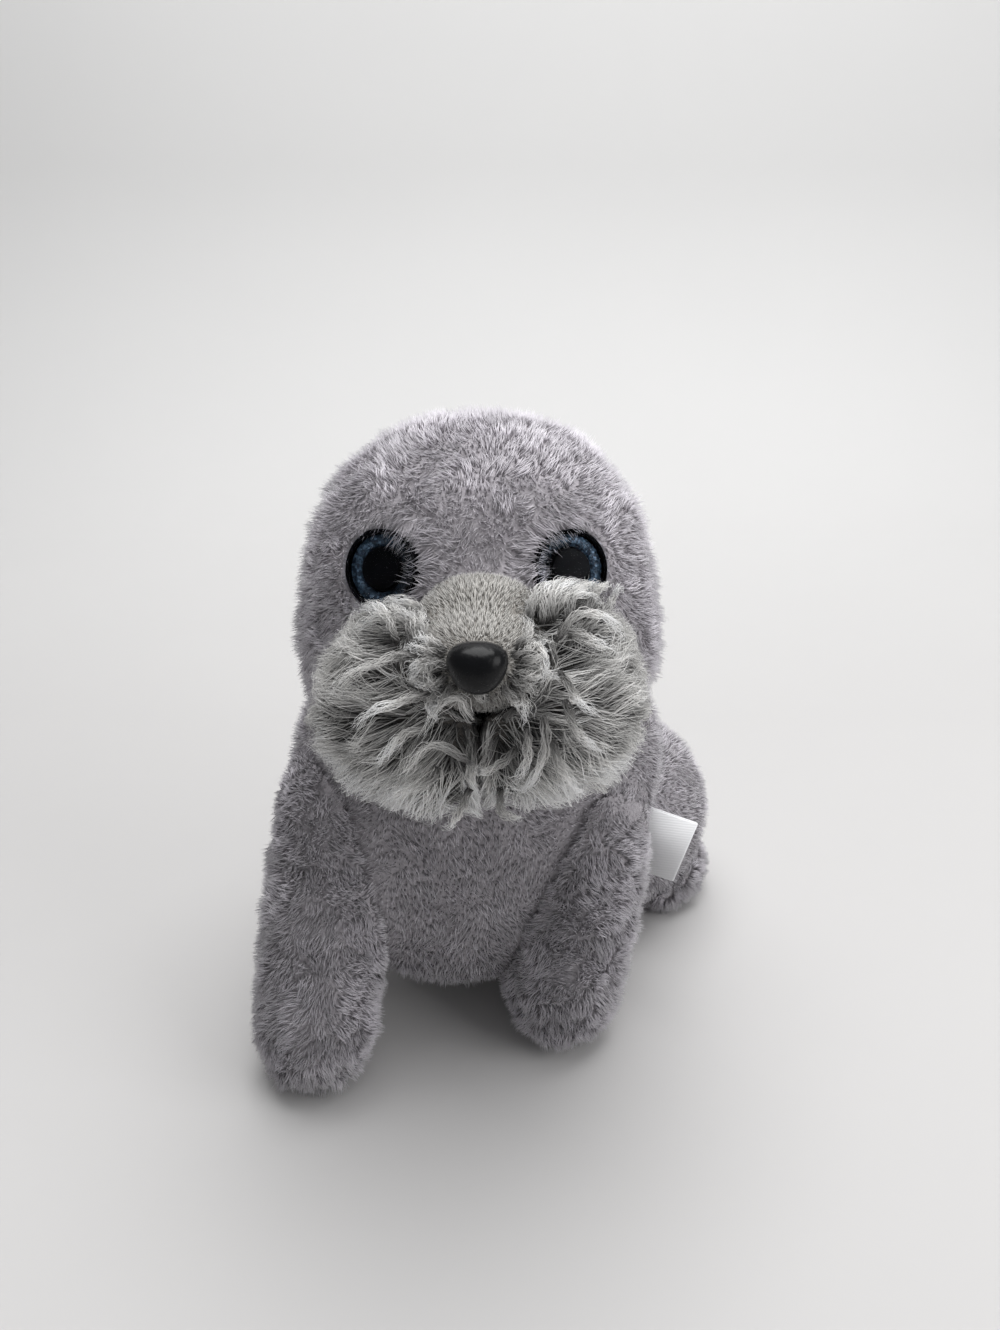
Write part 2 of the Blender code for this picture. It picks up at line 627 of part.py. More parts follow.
def build():
    for obj in list(bpy.data.objects):
        bpy.data.objects.remove(obj, do_unlink=True)
    bpy.context.collection.objects.link(bpy.data.objects.new("seal_origin", None))

    grey = new_material("plush_grey", PLUSH_GREY, 0.95)
    beige = new_material("snout_plush", SNOUT_BEIGE, 0.95)
    pale = new_material("moustache_pile", MOUSTACHE_PALE, 0.9)
    black = new_material("plastic_black", PLASTIC_BLACK, 0.35)
    blue = new_material("iris_blue", IRIS_BLUE, 0.3)
    clear = new_material("lens_clear", CLEAR, 0.03, transmission=1.0)
    white = new_material("washer_white", WASHER_WHITE, 0.5)
    ribbon_white = new_material("ribbon_white", RIBBON_WHITE, 0.8)

    head, torso = head_form(), torso_form()
    snout = snout_form(head)

    head_room = stuffed("head_room", head, None, HEAD_FINENESS, grow=CLEARANCE)
    torso_room = stuffed("torso_room", torso, None, TORSO_FINENESS, grow=CLEARANCE)
    snout_room = stuffed("snout_room", snout, None, SNOUT_FINENESS, pole=FORWARD, grow=CLEARANCE)
    label_matrix = label_place(torso)
    label_room = ribbon("label_room", None, label_matrix, CLEARANCE)

    eye_rooms = []
    for word, side in (("left", 1), ("right", -1)):
        start = head.heart + X_AXIS * side * EYE_ASIDE + Z_AXIS * EYE_ABOVE_HEAD_CENTRE
        on_skin = head.surface_point(start, FORWARD)
        outward = head.normal(on_skin)
        place = facing(on_skin - outward * EYE_SINK, outward)
        build_eye(word, place, (black, blue, clear, white))
        eye_rooms.append(turned(f"eye_room_{word}", eye_outline(), None, place))

    nose_room, nose_pocket = build_nose(snout, (black, white))

    trim(stuffed("head", head, grey, HEAD_FINENESS), *eye_rooms)
    trim(stuffed("torso", torso, grey, TORSO_FINENESS), head_room, label_room)
    trim(stuffed("snout", snout, beige, SNOUT_FINENESS, pole=FORWARD), head_room, nose_room, nose_pocket)
    ribbon("label", ribbon_white, label_matrix)

    stances = (
        ("left", 1, LEFT_INSET, LEFT_STRIDE, LEFT_HIND_SWING, LEFT_MOUSTACHE_LIFT),
        ("right", -1, RIGHT_INSET, RIGHT_STRIDE, RIGHT_HIND_SWING, RIGHT_MOUSTACHE_LIFT),
    )
    for word, side, inset, stride, swing, lift in stances:
        flipper = front_flipper_form(side, inset, stride)
        front = stuffed(f"front_flipper_{word}", flipper, grey, FLIPPER_FINENESS)
        trim(front, torso_room, head_room, label_room)
        hind = stuffed(f"hind_flipper_{word}", hind_flipper_form(side, swing), grey, HIND_FINENESS)
        trim(hind, torso_room)
        half = moustache_form(side, lift, head)
        relief = lock_relief(side)
        pile = stuffed(f"moustache_{word}", half, pale, MOUSTACHE_FINENESS, pole=FORWARD, relief=relief)
        other_side = box_across(f"moustache_seam_{word}", half, side)
        trim(pile, other_side, head_room, snout_room, nose_room, *eye_rooms)

    seat_on_origin([obj for obj in bpy.data.objects if obj.type == "MESH" and not obj.hide_render])


build()
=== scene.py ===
"""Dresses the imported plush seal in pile, locks, eyes, nose and label, and sets the stage and the camera."""

import math

import bmesh
import bpy
import numpy as np
from bpy.props import FloatProperty, FloatVectorProperty, IntProperty, PointerProperty
from mathutils import Matrix, Vector, noise
from mathutils.bvhtree import BVHTree


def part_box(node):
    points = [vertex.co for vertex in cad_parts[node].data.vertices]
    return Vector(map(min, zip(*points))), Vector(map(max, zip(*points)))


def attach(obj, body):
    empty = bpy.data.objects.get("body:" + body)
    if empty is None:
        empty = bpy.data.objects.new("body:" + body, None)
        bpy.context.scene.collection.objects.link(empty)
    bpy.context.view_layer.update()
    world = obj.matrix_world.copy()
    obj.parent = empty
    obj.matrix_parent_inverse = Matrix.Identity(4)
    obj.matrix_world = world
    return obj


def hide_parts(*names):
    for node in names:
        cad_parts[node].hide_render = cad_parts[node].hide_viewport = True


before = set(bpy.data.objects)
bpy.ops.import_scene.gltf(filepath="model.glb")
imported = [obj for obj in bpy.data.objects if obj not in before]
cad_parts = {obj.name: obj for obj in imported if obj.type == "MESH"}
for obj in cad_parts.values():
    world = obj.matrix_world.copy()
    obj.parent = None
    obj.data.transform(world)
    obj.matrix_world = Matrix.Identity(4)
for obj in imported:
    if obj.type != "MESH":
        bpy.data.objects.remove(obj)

bl_info = {
    "name": "Plush seal",
    "version": (1, 0, 0),
    "blender": (4, 5, 0),
    "location": "View3D > Sidebar > Seal",
    "description": "Pile, eyes, nose, label and stage of a small plush seal",
    "category": "Object",
}

MM = 0.001
MERGE_WITHIN = 0.001 * MM
DOWN = np.array((0.0, 0.0, -1.0))
FACE_WAY = Vector((0, -1, 0))
SIDES = {"left": 1, "right": -1}
WASHERS = ("eye_washer_left", "eye_washer_right", "nose_washer")

# The cloth under the pile: its mesh, where it is bare, how it lies against a neighbour, and its soft swell
SKIN_VOXEL = 1.8 * MM
FINE_VOXEL = 0.9 * MM
SKIN_SMOOTHING = 2
NORMAL_SMOOTHING = 5
BARE_WITHIN = 0.15 * MM
COVERED_FROM = 0.5 * MM
TOUCH_RANGE = 4.0 * MM
TOUCH_DEPTH = 0.12
SEAM_LENGTH = 0.6
THICKNESS_SHARE = 0.36
SWELL_SIZE = 7.0 * MM
TUFT_SIZE = 3.2 * MM
SWIRL_SIZE = 9.0 * MM
FLOOR_GAP = 0.25 * MM

# The strands: their form, and how far they brighten or darken by place: painted light on the moustache's
# fringe and wavy locks, and painted shadow in the folds under the nose
STRAND_SIDES = 3
PULL_POWER = 1.6
BROW_LENGTH = 2.4 * MM
BROW_FADE = (1.5 * MM, 7.0 * MM)
BROW_BEHIND = -9.0 * MM
FRINGE_PAINTED_LIGHT = 2.2
ROPE_PAINTED_LIGHT = 2.2
POCKET_PAINTED_SHADOW = 5.0

# The moustache's pile: the mouth behind and below the nose, the comb away from it, the length of the strands
# from there out, and the lifted fringe, painted paler as painted light
MOUTH_BEHIND = 8.0 * MM
MOUTH_BELOW = 3.5 * MM
AHEAD_SHARE = 0.4
COMB_WANDER = 4.0 * MM
REACH_AT_MOUTH = 24.0 * MM
REACH_LOSS = 0.55
REACH_LIMITS = (7.0 * MM, 15.0 * MM)
FRINGE_LIFT = (6.0 * MM, 20.0 * MM)
FRINGE_LIGHT_RANGE = (10.0 * MM, 22.0 * MM)

# A wavy lock: its height over the solid by share along it, its small waves, its strands' taper, and how far
# from the camera it starts where its first pixel misses every solid
RISE_SHAPE = ((0, 0.2, 0.7, 1), (-0.6, 1.0, 1.3, 0.5))
CRIMP_TURNS = (14, 30)
STRAND_TAPER = 0.75
FIRST_REACH = 0.2

# Colours of each pile at its root, middle and tip, and of the cloth under it, with the roots and the cloth
# darker as painted shade deep in the pile, and the grey's brightness by place, darker below the head as
# painted shade
BODY_COLOURS = ((0.38, 0.358, 0.384), (0.64, 0.608, 0.655), (0.88, 0.85, 0.905))
BODY_CLOTH = (0.44, 0.415, 0.442)
# Painted shade: the grey is darker on the body below the head than on the head
PAINTED_SHADE_TONES = {"head": 1.0, "body": 0.82}
SNOUT_COLOURS = ((0.29, 0.277, 0.262), (0.51, 0.495, 0.47), (0.65, 0.635, 0.605))
SNOUT_CLOTH = (0.27, 0.255, 0.235)
# The moustache's near-black roots and cloth are painted shade between its locks
MOUSTACHE_COLOURS = ((0.022, 0.020, 0.019), (0.62, 0.61, 0.595), (0.95, 0.94, 0.92))
MOUSTACHE_CLOTH = (0.06, 0.055, 0.05)

# An eye: heights over the plush behind it, its shank, its iris over the cup's floor, and the play inside it
IRIS_MIDDLE = 1.95 * MM
CUP_TOP = 3.0 * MM
CUP_FLOOR = 1.2 * MM
SHANK_RADIUS = 1.5 * MM
SHANK_LENGTH = 5.5 * MM
EYE_PLAY = 0.3 * MM
IRIS_TOP = 1.2 * MM
IRIS_SLOPE = 0.35 * MM
LENS_EDGE = 0.6 * MM
LENS_CROWN = 2.8 * MM
EDGE_ROUND = 0.25 * MM
TURN_STEPS = 64

# The backdrop in metres, the lamps as name, place, size and share of the power, and the camera
PAPER_FRONT, PAPER_BACK, PAPER_HEIGHT, PAPER_HALF_WIDTH = -0.9, 0.62, 1.0, 1.3
# The last value is the depth from which the paper is painted lighter toward the wall, as painted light on the
# one sheet
PAPER_BEND, BEND_STEPS, WALL_LIGHT_FROM = 0.22, 16, 0.15
LAMPS = (("soft_box_above", (0.05, 0.06, 1.0), 0.8, 1.0), ("soft_box_side", (0.75, -0.4, 0.5), 0.6, 0.32))
LIT_POINT = Vector((0, 0, 0.07))
SENSOR_WIDTH = 36

# One row of values for each kind of pile, in the settings' own units
PILES = {
    "head": dict(
        depth=2.1, proud=0.7, strands=42000, root_width=0.3, variation=0.32, lock_spacing=2.8, lock_pull=0.24,
        lock_scatter=0.6, scatter=0.6, comb=0.25, swirl=0.6, swell=0.4, tuft=0.25, seed=11,
    ),
    "torso": dict(
        depth=2.0, proud=0.6, strands=36000, root_width=0.36, variation=0.28, lock_spacing=2.8,
        lock_pull=0.14, lock_scatter=0.5, scatter=0.6, comb=0.25, swirl=0.6, swell=0.4, tuft=0.2, seed=21,
    ),
    "front_flipper": dict(
        depth=2.1, proud=0.7, strands=16000, root_width=0.32, variation=0.3, lock_spacing=2.9, lock_pull=0.26,
        lock_scatter=0.6, scatter=0.55, comb=0.25, swirl=0.8, swell=0.7, tuft=0.25, seed=31,
    ),
    "hind_flipper": dict(
        depth=2.1, proud=0.8, strands=5500, root_width=0.36, variation=0.28, lock_spacing=2.8, lock_pull=0.35,
        lock_scatter=0.5, scatter=0.36, comb=0.5, swirl=0.5, swell=0.4, tuft=0.2, seed=41,
    ),
    "snout": dict(
        depth=1.2, proud=0.3, strands=12500, root_width=0.18, variation=0.25, lock_spacing=0.9,
        lock_pull=0.32, lock_scatter=0.25, scatter=0.3, comb=0.9, swirl=0.15, swell=0.1, tuft=0.1, seed=51,
    ),
    "moustache": dict(
        depth=4.2, proud=1.0, strands=6800, root_width=0.3, variation=0.36, lock_spacing=2.6, lock_pull=0.62,
        lock_scatter=0.75, scatter=0.5, comb=1.0, swirl=0.3, swell=0.8, tuft=0.0, segments=3, seed=61,
        wave_depth=1.5, wave_turns=0.9,
    ),
}

# The inputs of a pile's node tree that come from its settings: label, kind of socket, setting and unit
PILE_INPUTS = (
    ("Seed", "Int", "seed", 1),
    ("Length Variation", "Float", "variation", 1),
    ("Root Width", "Float", "root_width", MM),
    ("Lock Spacing", "Float", "lock_spacing", MM),
    ("Lock Pull", "Float", "lock_pull", 1),
    ("Lock Scatter", "Float", "lock_scatter", 1),
    ("Strand Scatter", "Float", "scatter", 1),
    ("Wave Depth", "Float", "wave_depth", MM),
    ("Wave Turns", "Float", "wave_turns", 1),
    ("Side Segments", "Int", "segments", 1),
)

# Attributes that aren't a single number, and those that a grown pile no longer needs
VECTORS = ("root", "heading", "gather", "sway", "grow", "outward")
KINDS = dict.fromkeys(VECTORS, "FLOAT_VECTOR") | {"strand": "INT", "OFBake": "FLOAT2"}
SPARES = (*VECTORS, "phase", "width", "length", "lift", "strand", "across", "cover", "pile", "depth")

# The sockets of a Mix node for two kinds of value: first, second and result
MIX_SOCKETS = {"RGBA": (6, 7, 2), "VECTOR": (4, 5, 1)}

# The photograph's size and the nose's middle in it, in pixels, and where the tufts around the nose start
PHOTO_SIZE = (1000, 1330)
NOSE_PIXEL = (478, 664)
NOSE_WISPS_FROM = 40
NOSE_WISPS_FAN = (math.radians(-25), math.radians(205))
UNDER_NOSE = math.cos(math.radians(50))

# Painted shadows in the deep folds of the fur under the nose, each a pixel, a radius and a share of the full
# depth
PAINTED_SHADOW_POCKETS = (((531, 699), 25, 1.0), ((438, 686), 17, 1.0), ((498, 745), 52, 0.6), ((485, 703), 24, 0.9))

# Top edges of the fluff that hides the lower part of each eye, as two pixels and a count of tufts
EYE_FLUFF = (((546, 586), (612, 580), 9), ((374, 606), (424, 618), 6))

# A tuft of that fluff below its edge, from its root up: a share of its sweep, and pixels down
FLUFF_STEPS = ((-1.0, 34), (-0.7, 16), (0.0, 4))

# The nodes that carry the wavy locks, and the locks as pixels of the photograph, each from root to tip
CARRIERS = ("moustache_left", "moustache_right", "snout", "head", "eye_lens_left", "eye_lens_right")
ROPES = (
    (
        (516, 706), (507, 715), (479, 722), (468, 708), (461, 694), (447, 696), (433, 712), (424, 733),
        (417, 740),
    ),
    ((517, 749), (502, 761), (486, 768), (474, 765)),
    ((470, 765), (456, 752), (438, 745), (425, 749), (410, 762), (404, 779)),
    ((543, 715), (546, 738), (539, 765), (525, 784), (507, 784)),
    ((527, 729), (527, 749), (523, 770), (511, 781)),
    ((560, 672), (569, 687), (575, 699), (587, 710), (605, 717)),
    ((560, 628), (582, 637), (598, 646), (617, 649)),
    ((425, 660), (399, 657), (376, 667), (350, 676), (328, 696)),
    ((436, 690), (410, 696), (376, 710), (355, 729)),
    ((470, 791), (458, 804), (449, 818), (447, 839)),
    ((448, 668), (436, 664), (431, 672), (436, 684), (446, 690)),
    ((520, 655), (532, 648), (541, 660), (537, 676), (523, 684)),
    ((425, 640), (408, 628), (392, 622), (374, 624), (352, 634)),
    ((428, 622), (414, 610), (396, 606), (378, 610)),
    ((552, 618), (566, 604), (584, 600), (600, 606)),
    ((556, 640), (574, 620), (594, 618), (612, 628), (624, 642)),
    ((565, 700), (574, 724), (586, 742), (602, 752)),
    ((553, 742), (560, 764), (572, 782), (586, 790)),
    ((500, 790), (504, 806), (512, 820), (524, 828)),
    ((440, 770), (424, 780), (404, 786), (390, 796)),
    ((430, 724), (404, 736), (384, 752), (372, 768)),
    ((486, 700), (480, 692), (470, 688), (462, 694)),
)


# Meshes


def read(items, field, width, kind=np.float32):
    """One row of numbers for each item of a mesh's collection."""
    values = np.empty(len(items) * width, kind)
    items.foreach_get(field, values)
    return values.reshape(-1, width)


def points_of(mesh):
    return read(mesh.vertices, "co", 3).astype(float)


def normals_of(mesh):
    return read(mesh.vertex_normals, "vector", 3).astype(float)


def edges_of(mesh):
    return read(mesh.edges, "vertices", 2, np.int32)


def set_points(mesh, points):
    mesh.vertices.foreach_set("co", points.astype(np.float32).ravel())
    mesh.update()


def unit(vectors):
    lengths = np.linalg.norm(vectors, axis=-1, keepdims=True)
    return vectors / np.maximum(lengths, 1e-9)


def smoothed(values, edges, rounds):
    """Values at vertices, averaged with their neighbours for some rounds."""
    count = np.bincount(edges.ravel(), minlength=len(values)).astype(float)[:, None] + 1
    for _ in range(rounds):
        total = values.copy()
        np.add.at(total, edges[:, 0], values[edges[:, 1]])
        np.add.at(total, edges[:, 1], values[edges[:, 0]])
        values = total / count
    return values


def smooth_step(values, low, high):
    share = np.clip((values - low) / (high - low), 0, 1)
    return share * share * (3 - 2 * share)


def mesh_from(shape, name):
    mesh = bpy.data.meshes.new(name)
    shape.to_mesh(mesh)
    shape.free()
    return mesh


def merged_copy(node):
    """A CAD node's mesh as one joined surface."""
    shape = bmesh.new()
    shape.from_mesh(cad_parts[node].data)
    bmesh.ops.remove_doubles(shape, verts=shape.verts, dist=MERGE_WITHIN)
    return mesh_from(shape, node + "_copy")


def middle_of(node):
    low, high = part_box(node)
    return (low + high) / 2


def tree_of(nodes):
    """A search tree over the surfaces of CAD nodes."""
    points, faces = [], []
    for node in nodes:
        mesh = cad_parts[node].data
        start = len(points)
        points += [vertex.co.copy() for vertex in mesh.vertices]
        faces += [[start + index for index in face.vertices] for face in mesh.polygons]
    return BVHTree.FromPolygons(points, faces)


def paint(mesh, material):
    mesh.materials.clear()
    mesh.materials.append(material)


def new_piece(name, mesh, material=None):
    piece = bpy.data.objects.new(name, mesh)
    bpy.context.scene.collection.objects.link(piece)
    if material is not None:
        paint(mesh, material)
    return piece


def baked(piece):
    """The piece's mesh with its modifiers applied, which are then removed."""
    seen = piece.evaluated_get(bpy.context.evaluated_depsgraph_get())
    mesh = bpy.data.meshes.new_from_object(seen)
    piece.modifiers.clear()
    old = piece.data
    piece.data = mesh
    bpy.data.meshes.remove(old)
    mesh.name = piece.name
    return mesh


def covered_area(mesh, cover):
    """The area that the pile stands on."""
    total = 0
    for face in mesh.polygons:
        total += face.area * sum(cover[index] for index in face.vertices) / len(face.vertices)
    return total


def write_attribute(mesh, name, values):
    """Stores a number or a vector for each vertex, over the old values where there are any."""
    kind, field = ("FLOAT_VECTOR", "vector") if values.ndim == 2 else ("FLOAT", "value")
    attribute = mesh.attributes.get(name) or mesh.attributes.new(name, kind, "POINT")
    attribute.data.foreach_set(field, values.astype(np.float32).ravel())


def read_attribute(mesh, name):
    """An attribute's values, one row for each vertex where it is a vector."""
    data = mesh.attributes[name].data
    if mesh.attributes[name].data_type == "FLOAT_VECTOR":
        return read(data, "vector", 3).astype(float)
    return read(data, "value", 1)[:, 0].astype(float)


def finish_piece(piece, slot, *nodes):
    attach(piece, "root")
    if nodes:
        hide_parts(*nodes)
    return piece


# Node helpers


class Wires:
    """Short calls that add nodes to a tree and join them."""

    def __init__(self, tree):
        self.tree = tree
        self.count = 0

    def put(self, socket, value):
        if isinstance(value, bpy.types.NodeSocket):
            self.tree.links.new(value, socket)
        else:
            socket.default_value = value

    def add(self, kind, inputs=None, **settings):
        node = self.tree.nodes.new(kind)
        node.location = (220 * (self.count // 6), -190 * (self.count % 6))
        self.count += 1
        for name, value in settings.items():
            setattr(node, name, value)
        for name, value in (inputs or {}).items():
            self.put(node.inputs[name], value)
        return node

    def operate(self, kind, operation, *values):
        node = self.add(kind, operation=operation)
        for socket, value in zip(node.inputs, values):
            self.put(socket, value)
        return node.outputs[0]

    def math(self, operation, *values):
        return self.operate("ShaderNodeMath", operation, *values)

    def vector(self, operation, *values):
        return self.operate("ShaderNodeVectorMath", operation, *values)

    def scaled(self, vector, factor):
        node = self.add("ShaderNodeVectorMath", {"Scale": factor}, operation="SCALE")
        self.put(node.inputs[0], vector)
        return node.outputs["Vector"]

    def parts(self, vector):
        return self.add("ShaderNodeSeparateXYZ", {"Vector": vector}).outputs

    def joined(self, **parts):
        return self.add("ShaderNodeCombineXYZ", parts).outputs[0]

    def mixed(self, kind, factor, first, second):
        node = self.add("ShaderNodeMix", data_type=kind)
        low, high, result = MIX_SOCKETS[kind]
        for number, value in ((0, factor), (low, first), (high, second)):
            self.put(node.inputs[number], value)
        return node.outputs[result]

    def ranged(self, value, low=0.0, high=1.0, start=0.0, end=1.0):
        """The value, carried from between start and end to between low and high."""
        inputs = {"Value": value, "From Min": start, "From Max": end, "To Min": low, "To Max": high}
        return self.add("ShaderNodeMapRange", inputs).outputs["Result"]

    def place(self):
        """The shaded point's place on its object."""
        return self.add("ShaderNodeTexCoord").outputs["Object"]

    def cloud(self, scale, detail=2.0):
        """Soft noise over the object."""
        inputs = {"Vector": self.place(), "Scale": scale, "Detail": detail}
        return self.add("ShaderNodeTexNoise", inputs).outputs["Fac"]

    def attribute(self, name):
        kind = KINDS.get(name, "FLOAT")
        return self.add("GeometryNodeInputNamedAttribute", {"Name": name}, data_type=kind).outputs[0]

    def store(self, geometry, name, value, domain="POINT"):
        inputs = {"Geometry": geometry, "Name": name}
        kind = KINDS.get(name, "FLOAT")
        node = self.add("GeometryNodeStoreNamedAttribute", inputs, data_type=kind, domain=domain)
        self.put(node.inputs["Value"], value)
        return node.outputs["Geometry"]

    def random(self, low, high, seed, step):
        """A number for each point. Each step of the seed draws its own."""
        node = self.add("FunctionNodeRandomValue", {"Seed": self.math("ADD", seed, step)}, data_type="FLOAT")
        self.put(node.inputs[2], low)
        self.put(node.inputs[3], high)
        return node.outputs[1]

    def random_vector(self, seed, step):
        inputs = {"Seed": self.math("ADD", seed, step)}
        node = self.add("FunctionNodeRandomValue", inputs, data_type="FLOAT_VECTOR")
        self.put(node.inputs[0], (-1, -1, -1))
        self.put(node.inputs[1], (1, 1, 1))
        return node.outputs[0]


# Pile


def in_locks(wires, given, strands, position):
    """The strands' points, each with its own values and those of the lock that is nearest to it."""
    seed, spacing = given["Seed"], given["Lock Spacing"]
    locks = wires.add(
        "GeometryNodeDistributePointsOnFaces",
        {
            "Mesh": given["Geometry"],
            "Distance Min": spacing,
            "Density Max": wires.math("DIVIDE", 4.0, wires.math("POWER", spacing, 2.0)),
            "Density Factor": 1.0,
            "Seed": wires.math("ADD", seed, 1.0),
        },
        distribute_method="POISSON",
    ).outputs["Points"]
    nearest = wires.add("GeometryNodeSampleNearest", {"Geometry": locks, "Sample Position": position})

    def from_lock(value, kind="FLOAT"):
        inputs = {"Geometry": locks, "Index": nearest.outputs["Index"]}
        node = wires.add("GeometryNodeSampleIndex", inputs, data_type=kind)
        wires.put(node.inputs["Value"], value)
        return node.outputs["Value"]

    def leaning(share, step):
        wander = wires.scaled(wires.random_vector(seed, step), share)
        return wires.vector("NORMALIZE", wires.vector("ADD", wires.attribute("grow"), wander))

    lock_way = from_lock(leaning(given["Lock Scatter"], 2), "FLOAT_VECTOR")
    lock_side = from_lock(wires.random_vector(seed, 3), "FLOAT_VECTOR")
    lock_phase = from_lock(wires.random(0.0, math.tau, seed, 4))
    lock_tint = from_lock(wires.random(-1.0, 1.0, seed, 5))
    lock_reach = from_lock(wires.random(-1.0, 1.0, seed, 6))
    to_lock = wires.vector("SUBTRACT", from_lock(position, "FLOAT_VECTOR"), position)

    way = wires.vector("NORMALIZE", wires.vector("ADD", leaning(given["Strand Scatter"], 7), lock_way))
    side = wires.vector("NORMALIZE", wires.vector("CROSS_PRODUCT", way, lock_side))
    reach = wires.math("MULTIPLY", wires.math("ADD", wires.random(-1.0, 1.0, seed, 8), lock_reach), 0.5)
    factor = wires.math("MULTIPLY_ADD", reach, given["Length Variation"], 1.0)
    length = wires.math("MULTIPLY", wires.attribute("pile"), factor)
    stored = {
        "root": position,
        "heading": wires.scaled(way, length),
        "gather": wires.scaled(to_lock, given["Lock Pull"]),
        "sway": wires.scaled(side, given["Wave Depth"]),
        "phase": wires.math("ADD", lock_phase, wires.random(-0.5, 0.5, seed, 10)),
        "width": wires.math("MULTIPLY", given["Root Width"], wires.random(0.35, 0.65, seed, 9)),
        "length": length,
        "lift": wires.math("MULTIPLY", wires.attribute("depth"), wires.random(0.45, 1.1, seed, 11)),
        "tint": wires.random(-1.0, 1.0, seed, 12),
        "lock_tint": lock_tint,
        "strand": wires.add("GeometryNodeInputIndex").outputs[0],
    }
    for name, value in stored.items():
        strands = wires.store(strands, name, value)
    return strands


def planted(wires, given, points, position):
    """A closed cone on each point, turned along its heading and made real."""
    cone = wires.add(
        "GeometryNodeMeshCone",
        {
            "Vertices": STRAND_SIDES,
            "Side Segments": given["Side Segments"],
            "Radius Top": 0.0,
            "Radius Bottom": 1.0,
            "Depth": 1.0,
        },
        fill_type="NGON",
    ).outputs["Mesh"]
    parts = wires.parts(position)
    cone = wires.store(cone, "t", parts["Z"])
    across = wires.math("MULTIPLY_ADD", parts["X"], 0.35, 0.5)
    cone = wires.store(cone, "across", wires.math("MULTIPLY_ADD", parts["Y"], 0.12, across))
    twist = wires.joined(Z=wires.random(0.0, math.tau, given["Seed"], 13))
    turn = wires.add("FunctionNodeEulerToRotation", {"Euler": twist}).outputs[0]
    inputs = {"Rotation": turn, "Vector": wires.attribute("heading")}
    upright = wires.add("FunctionNodeAlignRotationToVector", inputs, axis="Z").outputs[0]
    width = wires.attribute("width")
    size = wires.joined(X=width, Y=width, Z=wires.attribute("length"))
    inputs = {"Points": points, "Instance": cone, "Rotation": upright, "Scale": size}
    placed = wires.add("GeometryNodeInstanceOnPoints", inputs).outputs["Instances"]
    return wires.add("GeometryNodeRealizeInstances", {"Geometry": placed}).outputs["Geometry"]


def onto_skin(wires, skin, along, drawn):
    """How far each point of a strand has to move to lie just over the skin."""
    straight = wires.scaled(wires.attribute("heading"), along)
    middle = wires.vector("ADD", wires.vector("ADD", wires.attribute("root"), straight), drawn)
    inputs = {"Geometry": skin, "Sample Position": middle}
    near = wires.add("GeometryNodeProximity", inputs, target_element="FACES").outputs["Position"]
    inputs = {"Mesh": skin, "Sample Position": middle}
    outward = wires.add("GeometryNodeSampleNearestSurface", inputs, data_type="FLOAT_VECTOR")
    wires.put(outward.inputs["Value"], wires.attribute("outward"))
    fallen = wires.math("POWER", wires.math("SUBTRACT", 1.0, along), 2.0)
    height = wires.math("MULTIPLY", wires.attribute("lift"), wires.math("SUBTRACT", 1.0, fallen))
    above = wires.vector("ADD", near, wires.scaled(outward.outputs["Value"], height))
    return wires.vector("SUBTRACT", above, middle)


def strand_cells(wires, strands, along):
    """A small cell of the UV map for each strand, in rows and columns."""
    total = wires.add("GeometryNodeAttributeDomainSize", {"Geometry": strands}, component="POINTCLOUD")
    columns = wires.math("CEIL", wires.math("SQRT", total.outputs["Point Count"]))
    number = wires.attribute("strand")
    row = wires.math("FLOOR", wires.math("DIVIDE", number, columns))
    column = wires.math("SUBTRACT", number, wires.math("MULTIPLY", row, columns))
    u = wires.math("DIVIDE", wires.math("ADD", column, wires.attribute("across")), columns)
    height = wires.math("MULTIPLY_ADD", along, 0.8, 0.1)
    return wires.joined(X=u, Y=wires.math("DIVIDE", wires.math("ADD", row, height), columns))


def new_inputs(tree, kinds):
    for label, kind in kinds.items():
        tree.interface.new_socket(label, in_out="INPUT", socket_type=f"NodeSocket{kind}")


